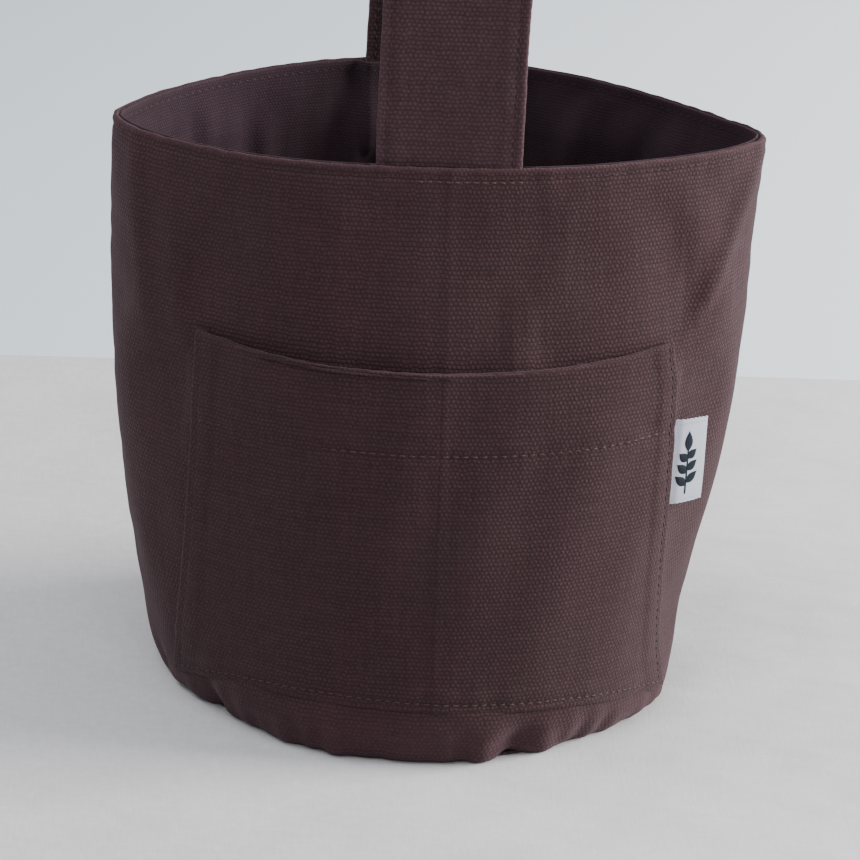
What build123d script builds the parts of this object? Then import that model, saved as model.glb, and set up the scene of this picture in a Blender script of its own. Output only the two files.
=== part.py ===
"""Round-bottomed canvas garden tool bag with one carry strap and a front patch pocket.

Millimetres.  The bag stands on z = 0 with the centre of its base at the origin.  The
front (pocket side) faces -Y and +X is to the right of someone looking at the pocket.
The body is a soft tube: a circle at the base that is pinched to a lens at the mouth.
"""
from build123d import *
from math import acos, cos, degrees, pi, radians, sin, sqrt
import os

# ---- driving dimensions -------------------------------------------------------------
RIM_HEIGHT = 194.0          # floor to the stitched rim
CANVAS = 1.2                # one layer of the outer canvas
LINING = 0.8                # one layer of the lining
LAYER_GAP = 0.15            # air between two layers of the same body
BODY_GAP = 0.45             # air between cloth that moves and cloth that does not
SEAM_ALLOWANCE = 8.0        # cloth turned inside each seam
SEAM_HALF_ANGLE = 0.3       # half of the slit between front and back panel, degrees

STRAP_WIDTH = 48.0
STRAP_THICK = 3.0           # two folded layers of canvas
STRAP_ROOT_DEPTH = 30.0     # length of strap sewn in below the rim
STRAP_FLEX = 50.0           # length above the rim that bends when the strap swings
STRAP_LEG = 56.0            # straight part of each leg above the rim
STRAP_ARCH = 134.0          # rise of the elliptical arch above the legs

POCKET_HALF_WIDTH = 80.0
POCKET_TOP = 131.5          # lip height at the centre
POCKET_TOP_RISE = 4.5       # the lip is this much higher at its two ends
POCKET_FOOT = 18.5          # bottom seam height at the centre
POCKET_FOOT_DROP = 11.0     # the bottom seam is this much lower at its two ends
POCKET_HEM = 27.5           # depth of the folded top hem
POCKET_MARGIN = 6.0         # sewn side and bottom margins
POCKET_SLACK = 6.4          # how far the lip stands off the wall at the centre

THREAD_WIDTH = 0.7
THREAD_HEIGHT = 0.35
THREAD_GAP = 0.12           # air between a row of stitches and the cloth under it
RIM_STITCH_DROP = 3.2       # rim topstitch below the edge
EDGE_STITCH_INSET = 2.2     # strap edge stitch in from the strap's edge
ANCHOR_STITCH_DROP = 4.7    # stitches over a strap end, below the edge
ANCHOR_STITCH_INSET = 3.0   # and in from the strap's edges
POCKET_STITCH_INSET = 3.0   # pocket stitches in from the pocket's edge
HEM_STITCH_RISE = 1.0       # hem stitch above the folded hem's bottom

LABEL_LENGTH = 28.0         # up the pocket seam
LABEL_REACH = 12.0          # out from the seam
LABEL_THICK = 0.5           # one layer of the folded label
LABEL_Z = 79.0              # lower end of the label
LABEL_LAYER_GAP = 0.1       # air between the label's two layers
LABEL_STAND_OFF = 2.4       # the label's middle from the wall
LEAF_RADIUS = 5.0           # the two arcs of the leaf motif
LEAF_OFFSET = 2.5           # how far each arc's centre is from the leaf's middle
MOTIF_THICK = 0.2

BASE_CLEARANCE = 1.2        # outer base disc inside the wall panels
RING_STEP = 1.0             # base allowance inside the outer base disc
LINING_BASE_CLEARANCE = 1.4
SEAM_FOOT = 6.0             # where the side allowances start
SEAM_TOP_DROP = 2.0         # and how far below the rim they stop
TURNING_TOP_DROP = 1.0      # rim allowance below the rim
TURNING_CLEARANCE = 1.5     # rim allowance clear of the strap end, in millimetres of width
CORNER_CLEARANCE = 1.5      # and clear of the side allowances, in degrees
BULGE_START = 2.0           # the lining's bulge is full this far outside the strap end
BULGE_END = 14.0            # and gone this far outside it
BULGE_FOOT = 26.0           # it starts this far below the strap end
BULGE_FULL = 3.0            # and is full this far below it

# height, half width, centre y, front depth, back depth, front taper, back taper
LEVELS = [
    (0.0, 85.5, 0.0, 85.0, 85.0, 1.00, 1.00),
    (4.0, 88.8, 0.0, 88.4, 88.0, 1.00, 1.00),
    (18.0, 92.5, 0.0, 90.0, 88.0, 1.00, 1.00),
    (40.0, 96.8, 0.0, 87.5, 85.0, 1.00, 1.02),
    (70.0, 101.8, 0.3, 83.0, 81.5, 1.02, 1.06),
    (100.0, 105.3, 1.0, 77.5, 79.0, 1.04, 1.15),
    (130.0, 107.4, 1.6, 70.5, 78.0, 1.07, 1.28),
    (160.0, 108.4, 2.2, 62.0, 78.5, 1.10, 1.42),
    (RIM_HEIGHT, 108.6, 3.0, 52.0, 79.0, 1.15, 1.60),
]
# Every layer of the wall is straight between these heights, so the layers stay parallel.
HEIGHTS = [
    0.2, 1.5, 4.0, 8.0, 13.0, 18.0, 28.0, 40.0, 55.0, 70.0, 85.0, 100.0, 115.0, 130.0,
    138.0, 146.0, 154.0, 161.0, 177.0, RIM_HEIGHT,
]


# ---- the body surface ---------------------------------------------------------------
def slope(index, column):
    """Rate of change of one column of LEVELS at a level."""
    low = LEVELS[max(index - 1, 0)]
    high = LEVELS[min(index + 1, len(LEVELS) - 1)]
    return (high[column] - low[column]) / (high[0] - low[0])


def section(z):
    """Half width, centre y, depths and tapers of the body's outline at height z."""
    index = max(i for i in range(len(LEVELS) - 1) if i == 0 or LEVELS[i][0] <= z)
    low, high = LEVELS[index], LEVELS[index + 1]
    rise = high[0] - low[0]
    t = min(max((z - low[0]) / rise, 0.0), 1.0)
    start, end = 2 * t**3 - 3 * t**2 + 1, 3 * t**2 - 2 * t**3
    lead, trail = t**3 - 2 * t**2 + t, t**3 - t**2
    return [
        start * low[c] + end * high[c] + rise * (lead * slope(index, c) + trail * slope(index + 1, c))
        for c in range(1, 7)
    ]


def outline_point(z, angle, inset):
    """A point of the smooth outline at height z; angle 270 is the front, 90 the back."""
    half_width, centre, front, back, front_taper, back_taper = section(z)
    s = sin(radians(angle))
    if s < 0:
        y = centre - (front - inset) * abs(s) ** front_taper
    else:
        y = centre + (back - inset) * s**back_taper
    return ((half_width - inset) * cos(radians(angle)), y)


def heights_around(z):
    """The two wall heights next to z, and how far z is from the lower to the upper."""
    index = max([i for i in range(len(HEIGHTS) - 1) if HEIGHTS[i] <= z], default=0)
    low, high = HEIGHTS[index], HEIGHTS[index + 1]
    return low, high, (z - low) / (high - low)


def ring_point(z, angle, inset=0.0):
    """A point of the wall, straight between the wall heights."""
    low, high, t = heights_around(z)
    start, end = outline_point(low, angle, inset), outline_point(high, angle, inset)
    return (start[0] + t * (end[0] - start[0]), start[1] + t * (end[1] - start[1]), z)


def half_width_at(z):
    """Half the width of the wall's outer face."""
    return ring_point(z, 0)[0]


def front_y(x, z):
    """The front wall's outer face at a place across the bag."""
    angle = -degrees(acos(x / half_width_at(z)))
    return ring_point(z, angle)[1]


def front_stretch(x, z):
    """How much longer a step along y is than the same step square to the front wall."""
    step = 0.5
    rise = (front_y(x + step, z) - front_y(x - step, z)) / (2 * step)
    return sqrt(1 + rise * rise)


def ramp(value, start, end):
    """Smooth 0 to 1 between start and end."""
    t = min(max((value - start) / (end - start), 0.0), 1.0)
    return t * t * (3 - 2 * t)


# ---- builders for thin cloth --------------------------------------------------------
def closed_loop(outer, inner):
    """A wire from two runs of points joined at their ends."""
    return Wire(
        [
            Edge.make_spline([Vector(*p) for p in outer]),
            Edge.make_line(Vector(*outer[-1]), Vector(*inner[-1])),
            Edge.make_spline([Vector(*p) for p in reversed(inner)]),
            Edge.make_line(Vector(*inner[0]), Vector(*outer[0])),
        ]
    )


def wall_layer(heights, span, outer, inner, stations=17):
    """Cloth that follows the body between two insets.

    span(z) gives its first and last angle; outer and inner are insets, which may be
    numbers or functions of the angle's x and z.
    """
    loops = []
    for z in heights:
        first, last = span(z)
        runs = []
        for inset in (outer, inner):
            run = []
            for i in range(stations):
                angle = first + (last - first) * i / (stations - 1)
                depth = inset(ring_point(z, angle)[0], z) if callable(inset) else inset
                run.append(ring_point(z, angle, depth))
            runs.append(run)
        loops.append(closed_loop(*runs))
    return Solid.make_loft(loops, ruled=True)


def levels_between(low, high):
    """The heights to loft through, ends included."""
    inside = [z for z in HEIGHTS if low + 0.5 < z < high - 0.5]
    return [low, *inside, high]


def front_patch(xs, low, high, near, far, stations=9):
    """Cloth on the front wall between two stand-offs, lofted from side to side.

    low(x) and high(x) are its bottom and top edges; near and far are distances square
    to the wall, as functions of x and z.
    """
    loops = []
    for x in xs:
        heights = spread(low(x), high(x), stations)
        runs = []
        for stand_off in (near, far):
            runs.append(
                [(x, front_y(x, z) - stand_off(x, z) * front_stretch(x, z), z) for z in heights]
            )
        loops.append(closed_loop(*runs))
    return Solid.make_loft(loops)


def spread(low, high, count):
    """Evenly spaced values, ends included."""
    return [low + (high - low) * i / (count - 1) for i in range(count)]


# ---- body: outer, lining and seams --------------------------------------------------
FRONT = (180 + SEAM_HALF_ANGLE, 360 - SEAM_HALF_ANGLE)
BACK = (SEAM_HALF_ANGLE, 180 - SEAM_HALF_ANGLE)
SEAM_LAYER = CANVAS + LAYER_GAP                  # where the folded layers start
SEAM_THICK = 1.0
LINING_INSET = SEAM_LAYER + SEAM_THICK + LAYER_GAP
ROOT_BULGE = STRAP_THICK - SEAM_THICK            # extra room for the strap ends
LINING_FLOOR = 3.9                               # underside of the lining base
LINING_TOP = RIM_HEIGHT - 0.3


def lining_inset(x, z):
    """The lining stands further in where the strap ends are sewn in behind it."""
    across = 1 - ramp(abs(x), STRAP_WIDTH / 2 + BULGE_START, STRAP_WIDTH / 2 + BULGE_END)
    root_low = RIM_HEIGHT - STRAP_ROOT_DEPTH
    up = ramp(z, root_low - BULGE_FOOT, root_low - BULGE_FULL)
    return LINING_INSET + ROOT_BULGE * across * up


def lining_face(x, z):
    """The face of the lining that the hand meets."""
    return lining_inset(x, z) + LINING


def wall_panels():
    """Outer and lining panels, front and back."""
    outer = levels_between(HEIGHTS[0], RIM_HEIGHT)
    inner = levels_between(LINING_FLOOR, LINING_TOP)
    solids = {}
    for name, span in (("front", FRONT), ("back", BACK)):
        solids[f"outer_{name}_panel"] = wall_layer(outer, lambda z: span, 0.0, CANVAS)
        solids[f"lining_{name}_panel"] = wall_layer(
            inner, lambda z: span, lining_inset, lining_face, stations=33
        )
    return solids


def base_layers():
    """Outer base disc, the seam allowance pressed onto it and the lining's disc."""
    outer_radius = LEVELS[0][1] - CANVAS - BASE_CLEARANCE
    ring_radius = outer_radius - RING_STEP
    ring_bottom = CANVAS + LAYER_GAP
    lining_radius = LEVELS[1][1] - LINING_INSET - LINING - LINING_BASE_CLEARANCE
    disc = Cylinder(outer_radius, CANVAS, align=(Align.CENTER, Align.CENTER, Align.MIN))
    ring = Cylinder(ring_radius, CANVAS, align=(Align.CENTER, Align.CENTER, Align.MIN))
    ring -= Cylinder(
        ring_radius - SEAM_ALLOWANCE, CANVAS, align=(Align.CENTER, Align.CENTER, Align.MIN)
    )
    lining = Cylinder(lining_radius, LINING, align=(Align.CENTER, Align.CENTER, Align.MIN))
    return {
        "outer_base_disc": disc,
        "base_seam_allowance": Pos(0, 0, ring_bottom) * ring,
        "lining_base_disc": Pos(0, 0, ring_bottom + CANVAS + LAYER_GAP) * lining,
    }


def corner_angles(z, reach):
    """Angle either side of a side seam that covers reach millimetres of depth."""
    _, _, front, back, front_taper, back_taper = section(z)
    forward = degrees(asin_power(reach / front, front_taper))
    backward = degrees(asin_power(reach / back, back_taper))
    return forward, backward


def asin_power(ratio, taper):
    """The angle whose sine, raised to taper, is ratio."""
    return pi / 2 - acos(ratio ** (1 / taper))


def side_seams():
    """The turned allowances inside the left and right side seams."""
    heights = levels_between(SEAM_FOOT, RIM_HEIGHT - SEAM_TOP_DROP)

    def right(z):
        forward, backward = corner_angles(z, SEAM_ALLOWANCE)
        return (-forward, backward)

    def left(z):
        forward, backward = corner_angles(z, SEAM_ALLOWANCE)
        return (180 - backward, 180 + forward)

    thick = SEAM_LAYER + SEAM_THICK
    return {
        "side_seam_allowance_right": wall_layer(heights, right, SEAM_LAYER, thick, 9),
        "side_seam_allowance_left": wall_layer(heights, left, SEAM_LAYER, thick, 9),
    }


def rim_turnings():
    """Rim allowances, in two runs on each side of the strap end."""
    low, high = RIM_HEIGHT - SEAM_ALLOWANCE - 2, RIM_HEIGHT - TURNING_TOP_DROP
    clear = STRAP_WIDTH / 2 + TURNING_CLEARANCE
    solids = {}
    for name, sign in (("front", -1), ("back", 1)):
        runs = []
        for side in (-1, 1):

            def span(z):
                half_width = half_width_at(z)
                root = degrees(acos(clear / half_width))
                corner = max(corner_angles(z, SEAM_ALLOWANCE)) + CORNER_CLEARANCE
                ends = (corner, root) if side > 0 else (180 - root, 180 - corner)
                return ends if sign > 0 else (-ends[1], -ends[0])

            runs.append(wall_layer([low, high], span, SEAM_LAYER, SEAM_LAYER + SEAM_THICK))
        solids[f"rim_turning_{name}"] = Compound(children=runs)
    return solids


# ---- strap --------------------------------------------------------------------------
ROOT_OFFSET = SEAM_LAYER + STRAP_THICK / 2       # strap's middle, in from the outer face
FRONT_LEG_Y = section(RIM_HEIGHT)[1] - section(RIM_HEIGHT)[2] + ROOT_OFFSET
BACK_LEG_Y = section(RIM_HEIGHT)[1] + section(RIM_HEIGHT)[3] - ROOT_OFFSET
ARCH_CENTRE_Y = (FRONT_LEG_Y + BACK_LEG_Y) / 2
ARCH_HALF_SPAN = (BACK_LEG_Y - FRONT_LEG_Y) / 2
ARCH_BASE = RIM_HEIGHT + STRAP_LEG
FLEX_TOP = RIM_HEIGHT + STRAP_FLEX


def strap_roots():
    """The two strap ends that are sewn between the outer and the lining."""
    heights = spread(RIM_HEIGHT - STRAP_ROOT_DEPTH, RIM_HEIGHT - 0.2, 3)
    half = STRAP_WIDTH / 2

    def span(z):
        edge = degrees(acos(half / half_width_at(z)))
        return (edge, 180 - edge)

    thick = SEAM_LAYER + STRAP_THICK
    back = wall_layer(heights, span, SEAM_LAYER, thick, 9)
    front = wall_layer(heights, lambda z: (-span(z)[1], -span(z)[0]), SEAM_LAYER, thick, 9)
    return {"strap_root_front": front, "strap_root_back": back}


def arch_face(half_thick, grow=0.0):
    """The strap's edge-on outline: two short legs and half an ellipse between them."""
    outer = ARCH_HALF_SPAN + half_thick + grow
    inner = ARCH_HALF_SPAN - half_thick + grow
    rise_out = STRAP_ARCH + half_thick + grow
    rise_in = STRAP_ARCH - half_thick + grow
    start = FLEX_TOP + LAYER_GAP - ARCH_BASE
    ring = Ellipse(outer, rise_out) - Ellipse(inner, rise_in)
    ring &= Pos(0, rise_out / 2) * Rectangle(2 * outer + 2, rise_out)
    leg_middle = (outer + inner) / 2
    for side in (-1, 1):
        ring += Pos(side * leg_middle, start / 2) * Rectangle(outer - inner, -start)
    return ring


def across_bag(outline, width, x=0.0):
    """Stand an outline up in the YZ plane over the mouth and give it a width along X."""
    plane = Plane(origin=(x, ARCH_CENTRE_Y, ARCH_BASE), x_dir=(0, 1, 0), z_dir=(1, 0, 0))
    return extrude(plane * outline, amount=width / 2, both=True)


def strap_loop():
    """The free part of the strap and its rows of edge stitching, outside and inside."""
    half_thread = THREAD_HEIGHT / 2
    out = STRAP_THICK / 2 + half_thread + THREAD_GAP / 2
    rows = []
    for side in (-1, 1):
        x = side * (STRAP_WIDTH / 2 - EDGE_STITCH_INSET)
        for grow in (-out, out):
            rows.append(across_bag(arch_face(half_thread, grow), THREAD_WIDTH, x))
    return {
        "carry_strap": across_bag(arch_face(STRAP_THICK / 2), STRAP_WIDTH),
        "strap_edge_stitching": Compound(children=rows),
    }


def strap_flex_zones():
    """The lowest part of each leg, which bends when the strap is laid over."""
    low = RIM_HEIGHT + BODY_GAP
    high = FLEX_TOP - LAYER_GAP
    solids = {}
    for name, y in (("front", FRONT_LEG_Y), ("back", BACK_LEG_Y)):
        block = Box(STRAP_WIDTH, STRAP_THICK, high - low)
        solids[f"strap_flex_{name}"] = Pos(0, y, (low + high) / 2) * block
    return solids


# ---- pocket -------------------------------------------------------------------------
def pocket_foot(x):
    """Height of the pocket's bottom seam: level in the middle, lower at the ends."""
    return POCKET_FOOT - POCKET_FOOT_DROP * (x / POCKET_HALF_WIDTH) ** 4


def pocket_lip(x):
    """Height of the pocket's top edge."""
    return POCKET_TOP + POCKET_TOP_RISE * (x / POCKET_HALF_WIDTH) ** 2


def slack(x, z):
    """How far the pocket stands off the wall: nothing at its seams, most at the lip."""
    up = ramp(z, POCKET_FOOT, POCKET_TOP)
    return POCKET_SLACK * up * (1 - (x / POCKET_HALF_WIDTH) ** 2)


PANEL_NEAR = BODY_GAP + CANVAS + LAYER_GAP       # leaves room for the folded hem
MARGIN_NEAR = 2 * LAYER_GAP
LOOSE_EDGE = POCKET_HALF_WIDTH - POCKET_MARGIN   # the panel is free inside this


def pocket_loose():
    """The loose part of the pocket: panel, folded hem behind it and its hem stitch."""
    xs = spread(-LOOSE_EDGE + BODY_GAP, LOOSE_EDGE - BODY_GAP, 13)

    def above_margin(x):
        return pocket_foot(x) + POCKET_MARGIN + BODY_GAP

    def panel_near(x, z):
        return PANEL_NEAR + slack(x, z)

    def panel_far(x, z):
        return PANEL_NEAR + CANVAS + slack(x, z)

    def hem_near(x, z):
        return BODY_GAP + slack(x, z)

    def hem_far(x, z):
        return BODY_GAP + CANVAS + slack(x, z)

    def hem_bottom(x):
        return pocket_lip(x) - POCKET_HEM

    def hem_top(x):
        return pocket_lip(x) - 0.4

    def stitch_near(x, z):
        return panel_far(x, z) + THREAD_GAP

    def stitch_far(x, z):
        return panel_far(x, z) + THREAD_HEIGHT

    def stitch_bottom(x):
        return hem_bottom(x) + HEM_STITCH_RISE

    def stitch_top(x):
        return stitch_bottom(x) + THREAD_WIDTH

    return {
        "pocket_panel": front_patch(xs, above_margin, pocket_lip, panel_near, panel_far),
        "pocket_hem_fold": front_patch(xs, hem_bottom, hem_top, hem_near, hem_far, 5),
        "pocket_hem_stitch": front_patch(xs, stitch_bottom, stitch_top, stitch_near, stitch_far, 3),
    }


def pocket_seams():
    """The pocket's sewn margins and the rows of stitches through them."""
    thick = MARGIN_NEAR + 2 * CANVAS             # the margin is folded under

    def near(x, z):
        return MARGIN_NEAR

    def far(x, z):
        return thick

    def thread_near(x, z):
        return thick + THREAD_GAP

    def thread_far(x, z):
        return thick + THREAD_HEIGHT

    def foot_top(x):
        return pocket_foot(x) + POCKET_MARGIN

    def thread_low(x):
        return pocket_foot(x) + POCKET_MARGIN / 2

    def thread_high(x):
        return thread_low(x) + THREAD_WIDTH

    def side_bottom(x):
        return foot_top(x) + LAYER_GAP

    edge = POCKET_HALF_WIDTH
    row_end = edge - POCKET_STITCH_INSET
    solids = {
        "pocket_bottom_margin": front_patch(spread(-edge, edge, 17), pocket_foot, foot_top, near, far, 3),
        "pocket_bottom_stitch": front_patch(
            spread(-row_end, row_end, 17), thread_low, thread_high, thread_near, thread_far, 3
        ),
    }
    for name, sign in (("left", -1), ("right", 1)):
        margin = sorted(sign * x for x in spread(LOOSE_EDGE, edge, 3))
        row = sorted(sign * (row_end + x) for x in (0, THREAD_WIDTH))
        solids[f"pocket_margin_{name}"] = front_patch(margin, side_bottom, pocket_lip, near, far)
        solids[f"pocket_side_stitch_{name}"] = front_patch(
            row, side_bottom, pocket_lip, thread_near, thread_far
        )
    return solids


# ---- visible stitching on the body --------------------------------------------------
def stitch_band(drop, span, stations):
    """One row of thread lying on the outer wall, its top edge drop below the rim."""
    top = RIM_HEIGHT - drop
    band = [top - THREAD_WIDTH, top]
    return wall_layer(band, span, -THREAD_HEIGHT, -THREAD_GAP / 2, stations)


def rim_stitching():
    """Topstitch rows under the rim and the heavier rows over the strap ends."""
    rows = [stitch_band(RIM_STITCH_DROP, lambda z, s=span: s, 33) for span in (FRONT, BACK)]
    solids = {"rim_topstitch": Compound(children=rows)}
    half = STRAP_WIDTH / 2 - ANCHOR_STITCH_INSET
    for name, sign in (("front", -1), ("back", 1)):

        def span(z):
            edge = degrees(acos(half / half_width_at(z)))
            ends = (edge, 180 - edge)
            return ends if sign > 0 else (-ends[1], -ends[0])

        solids[f"strap_anchor_stitch_{name}"] = stitch_band(ANCHOR_STITCH_DROP, span, 9)
    return solids


# ---- side label ---------------------------------------------------------------------
def side_label():
    """A folded woven tab caught in the pocket's right seam, with a raised leaf motif."""
    x = POCKET_HALF_WIDTH + BODY_GAP
    z = LABEL_Z + LABEL_LENGTH / 2
    mid_x = x + LABEL_REACH / 2
    y = front_y(mid_x, z) - LABEL_STAND_OFF
    lean = degrees(acos(1 / front_stretch(mid_x, z)))
    place = Pos(mid_x, y, z) * Rot(0, 0, lean)
    layers = []
    for side in (-1, 1):
        layer = Box(LABEL_REACH, LABEL_THICK, LABEL_LENGTH)
        layers.append(Pos(0, side * (LABEL_THICK + LABEL_LAYER_GAP) / 2, 0) * layer)
    fold = Box(LABEL_THICK, 2 * LABEL_THICK + LABEL_LAYER_GAP, LABEL_LENGTH)
    tab = layers[0] + layers[1] + Pos((LABEL_REACH - LABEL_THICK) / 2, 0, 0) * fold
    arcs = [Pos(side * LEAF_OFFSET, 0) * Circle(LEAF_RADIUS) for side in (-1, 1)]
    leaf = Plane.XZ * (arcs[0] & arcs[1])
    motif = Pos(0, -LABEL_THICK - THREAD_GAP, 0) * extrude(leaf, amount=MOTIF_THICK)
    return {"side_label": place * tab, "label_motif": place * motif}


# ---- write every piece --------------------------------------------------------------
def all_parts():
    """Every node of the bag, by name."""
    parts = {}
    for build in (
        wall_panels,
        base_layers,
        side_seams,
        rim_turnings,
        strap_roots,
        strap_loop,
        strap_flex_zones,
        pocket_loose,
        pocket_seams,
        rim_stitching,
        side_label,
    ):
        parts.update(build())
    return parts


os.makedirs("parts", exist_ok=True)
for name, shape in all_parts().items():
    export_step(shape, f"parts/{name}.step")
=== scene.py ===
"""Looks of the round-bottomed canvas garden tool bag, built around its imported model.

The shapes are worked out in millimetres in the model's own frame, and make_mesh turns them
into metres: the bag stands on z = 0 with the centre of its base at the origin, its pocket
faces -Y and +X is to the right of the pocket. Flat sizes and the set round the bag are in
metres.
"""
import math

import bpy
import numpy as np
from mathutils import Matrix, Vector


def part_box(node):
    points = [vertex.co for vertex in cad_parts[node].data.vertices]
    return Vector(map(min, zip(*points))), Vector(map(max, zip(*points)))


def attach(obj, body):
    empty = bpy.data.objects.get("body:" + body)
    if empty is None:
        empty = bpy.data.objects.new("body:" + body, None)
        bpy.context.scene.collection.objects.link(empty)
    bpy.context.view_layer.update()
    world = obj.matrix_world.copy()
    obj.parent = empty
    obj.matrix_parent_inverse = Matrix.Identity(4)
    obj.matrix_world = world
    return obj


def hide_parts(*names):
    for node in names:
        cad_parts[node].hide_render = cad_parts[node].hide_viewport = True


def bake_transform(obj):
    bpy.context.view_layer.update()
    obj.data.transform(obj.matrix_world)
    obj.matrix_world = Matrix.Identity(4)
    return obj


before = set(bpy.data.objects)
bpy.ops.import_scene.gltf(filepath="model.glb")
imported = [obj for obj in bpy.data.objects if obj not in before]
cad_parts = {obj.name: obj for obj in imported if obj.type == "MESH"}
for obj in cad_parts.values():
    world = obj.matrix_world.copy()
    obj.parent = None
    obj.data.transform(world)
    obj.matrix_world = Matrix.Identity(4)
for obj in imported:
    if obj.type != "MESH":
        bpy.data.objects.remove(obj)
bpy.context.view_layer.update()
MM = 0.001


# ---- places read from the frame ----------------------------------------------------
def box(node):
    """Lowest and highest corner of a CAD node, in millimetres."""
    return [np.array(corner, float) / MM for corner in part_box(node)]


RIM_Z = box("outer_front_panel")[1][2]
STRAP_LOW, STRAP_HIGH = box("carry_strap")
FLEX_LOW, FLEX_HIGH = box("strap_flex_front")
MARGIN_LOW, MARGIN_HIGH = box("pocket_bottom_margin")

# ---- driving sizes -----------------------------------------------------------------
CLOTH = 1.25                # one layer of canvas
LINING_CLOTH = 0.9
WARP = 0.80                 # spacing of the upright yarns
WEFT = 1.46                 # spacing of the level yarns
STITCH = 3.2                # stitch pitch
THREAD_R = 0.22
ROLL = 1.15                 # outside radius of a folded edge
RIM_STITCH_DROP = 3.2
EDGE_STITCH_INSET = 2.2
POCKET_EDGE = MARGIN_HIGH[0]
POCKET_FOOT_DROP = MARGIN_HIGH[2] - 6.0 - MARGIN_LOW[2]
POCKET_TOP_RISE = 4.5
POCKET_TOP = box("pocket_margin_right")[1][2] - POCKET_TOP_RISE
POCKET_HEM = 27.5
FOOT_STITCH_RISE = 2.3      # the bottom stitches above the pocket's bottom edge
FRONT, BACK = 1.5 * math.pi, 0.5 * math.pi

# height, half width, centre y, front depth, back depth, front taper, back taper
LEVELS = np.array([
    (0.0, 85.5, 0.0, 85.0, 85.0, 1.00, 1.00),
    (4.0, 88.8, 0.0, 88.4, 88.0, 1.00, 1.00),
    (18.0, 92.5, 0.0, 90.0, 88.0, 1.00, 1.00),
    (40.0, 96.8, 0.0, 87.5, 85.0, 1.00, 1.02),
    (70.0, 101.8, 0.3, 83.0, 81.5, 1.02, 1.06),
    (100.0, 105.3, 1.0, 77.5, 79.0, 1.04, 1.15),
    (130.0, 107.4, 1.6, 70.5, 78.0, 1.07, 1.28),
    (160.0, 108.4, 2.2, 62.0, 78.5, 1.10, 1.42),
    (194.0, 108.6, 3.0, 52.0, 79.0, 1.15, 1.60),
])


# ---- small maths -------------------------------------------------------------------
def ramp(value, start, end):
    """Smooth 0 to 1 between start and end."""
    t = np.clip((value - start) / (end - start), 0.0, 1.0)
    return t * t * (3 - 2 * t)


def bump(value, middle, width):
    """A soft hill of height 1."""
    return np.exp(-((value - middle) / width) ** 2)


WAVES = 14                  # plain waves added up in one set of ripples


def ripples(u, v, wavelength, seed, stretch=(1.0, 1.0)):
    """Smooth irregular waves of about one wavelength, between about -1 and 1."""
    rng = np.random.default_rng(seed)
    total = np.zeros(np.broadcast(u, v).shape)
    for _ in range(WAVES):
        heading = rng.uniform(0, 2 * math.pi)
        number = 2 * math.pi / (wavelength * rng.uniform(0.7, 1.5))
        along = np.cos(heading) * u / stretch[0] + np.sin(heading) * v / stretch[1]
        total += np.sin(number * along + rng.uniform(0, 2 * math.pi))
    return total / math.sqrt(WAVES)


def unit(vectors):
    """Vectors along the last axis, one long."""
    return vectors / np.maximum(np.linalg.norm(vectors, axis=-1, keepdims=True), 1e-12)


def lengths(points):
    """Distance along a line of points from its first one."""
    return np.append(0, np.cumsum(np.linalg.norm(np.diff(points, axis=0), axis=1)))


def section(z):
    """Half width, centre y, depths and tapers of the body's outline at heights z."""
    heights, shapes = LEVELS[:, 0], LEVELS[:, 1:]
    z = np.clip(z, heights[0], heights[-1])
    slopes = np.empty_like(shapes)
    slopes[1:-1] = (shapes[2:] - shapes[:-2]) / (heights[2:] - heights[:-2])[:, None]
    slopes[0] = (shapes[1] - shapes[0]) / (heights[1] - heights[0])
    slopes[-1] = (shapes[-1] - shapes[-2]) / (heights[-1] - heights[-2])
    index = np.clip(np.searchsorted(heights, z, side="right") - 1, 0, len(heights) - 2)
    rise = (heights[index + 1] - heights[index])[..., None]
    t = (z - heights[index])[..., None] / rise
    value = (2 * t**3 - 3 * t**2 + 1) * shapes[index] + (3 * t**2 - 2 * t**3) * shapes[index + 1]
    value += rise * ((t**3 - 2 * t**2 + t) * slopes[index] + (t**3 - t**2) * slopes[index + 1])
    return np.moveaxis(value, -1, 0)


def ring(angle, z, inset=0.0):
    """Points of the outline at heights z, moved in by inset."""
    half_width, centre, front, back, front_taper, back_taper = section(z)
    s = np.sin(angle)
    ahead = centre - (front - inset) * np.abs(s) ** front_taper
    behind = centre + (back - inset) * np.abs(s) ** back_taper
    return np.stack([(half_width - inset) * np.cos(angle), np.where(s < 0, ahead, behind), z + 0 * s], -1)


def front_y(x, z):
    """The front wall's outer face at a place across the bag."""
    half_width, centre, front, _, taper, _ = section(z)
    return centre - front * np.sqrt(np.clip(1 - (x / half_width) ** 2, 0, 1)) ** taper


def grid_normals(points):
    """Unit normals of a grid of points, rows by columns."""
    return unit(np.cross(np.gradient(points, axis=1), np.gradient(points, axis=0)))


def run_length(points, axis):
    """Distance along rows or columns of a grid from its first line."""
    steps = np.linalg.norm(np.diff(points, axis=axis), axis=-1)
    pad = [(0, 0), (0, 0)]
    pad[axis] = (1, 0)
    return np.pad(np.cumsum(steps, axis=axis), pad)


# ---- mesh builders -----------------------------------------------------------------
def add_object(name, data):
    """An object in the scene."""
    made = bpy.data.objects.new(name, data)
    bpy.context.scene.collection.objects.link(made)
    return made


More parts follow.
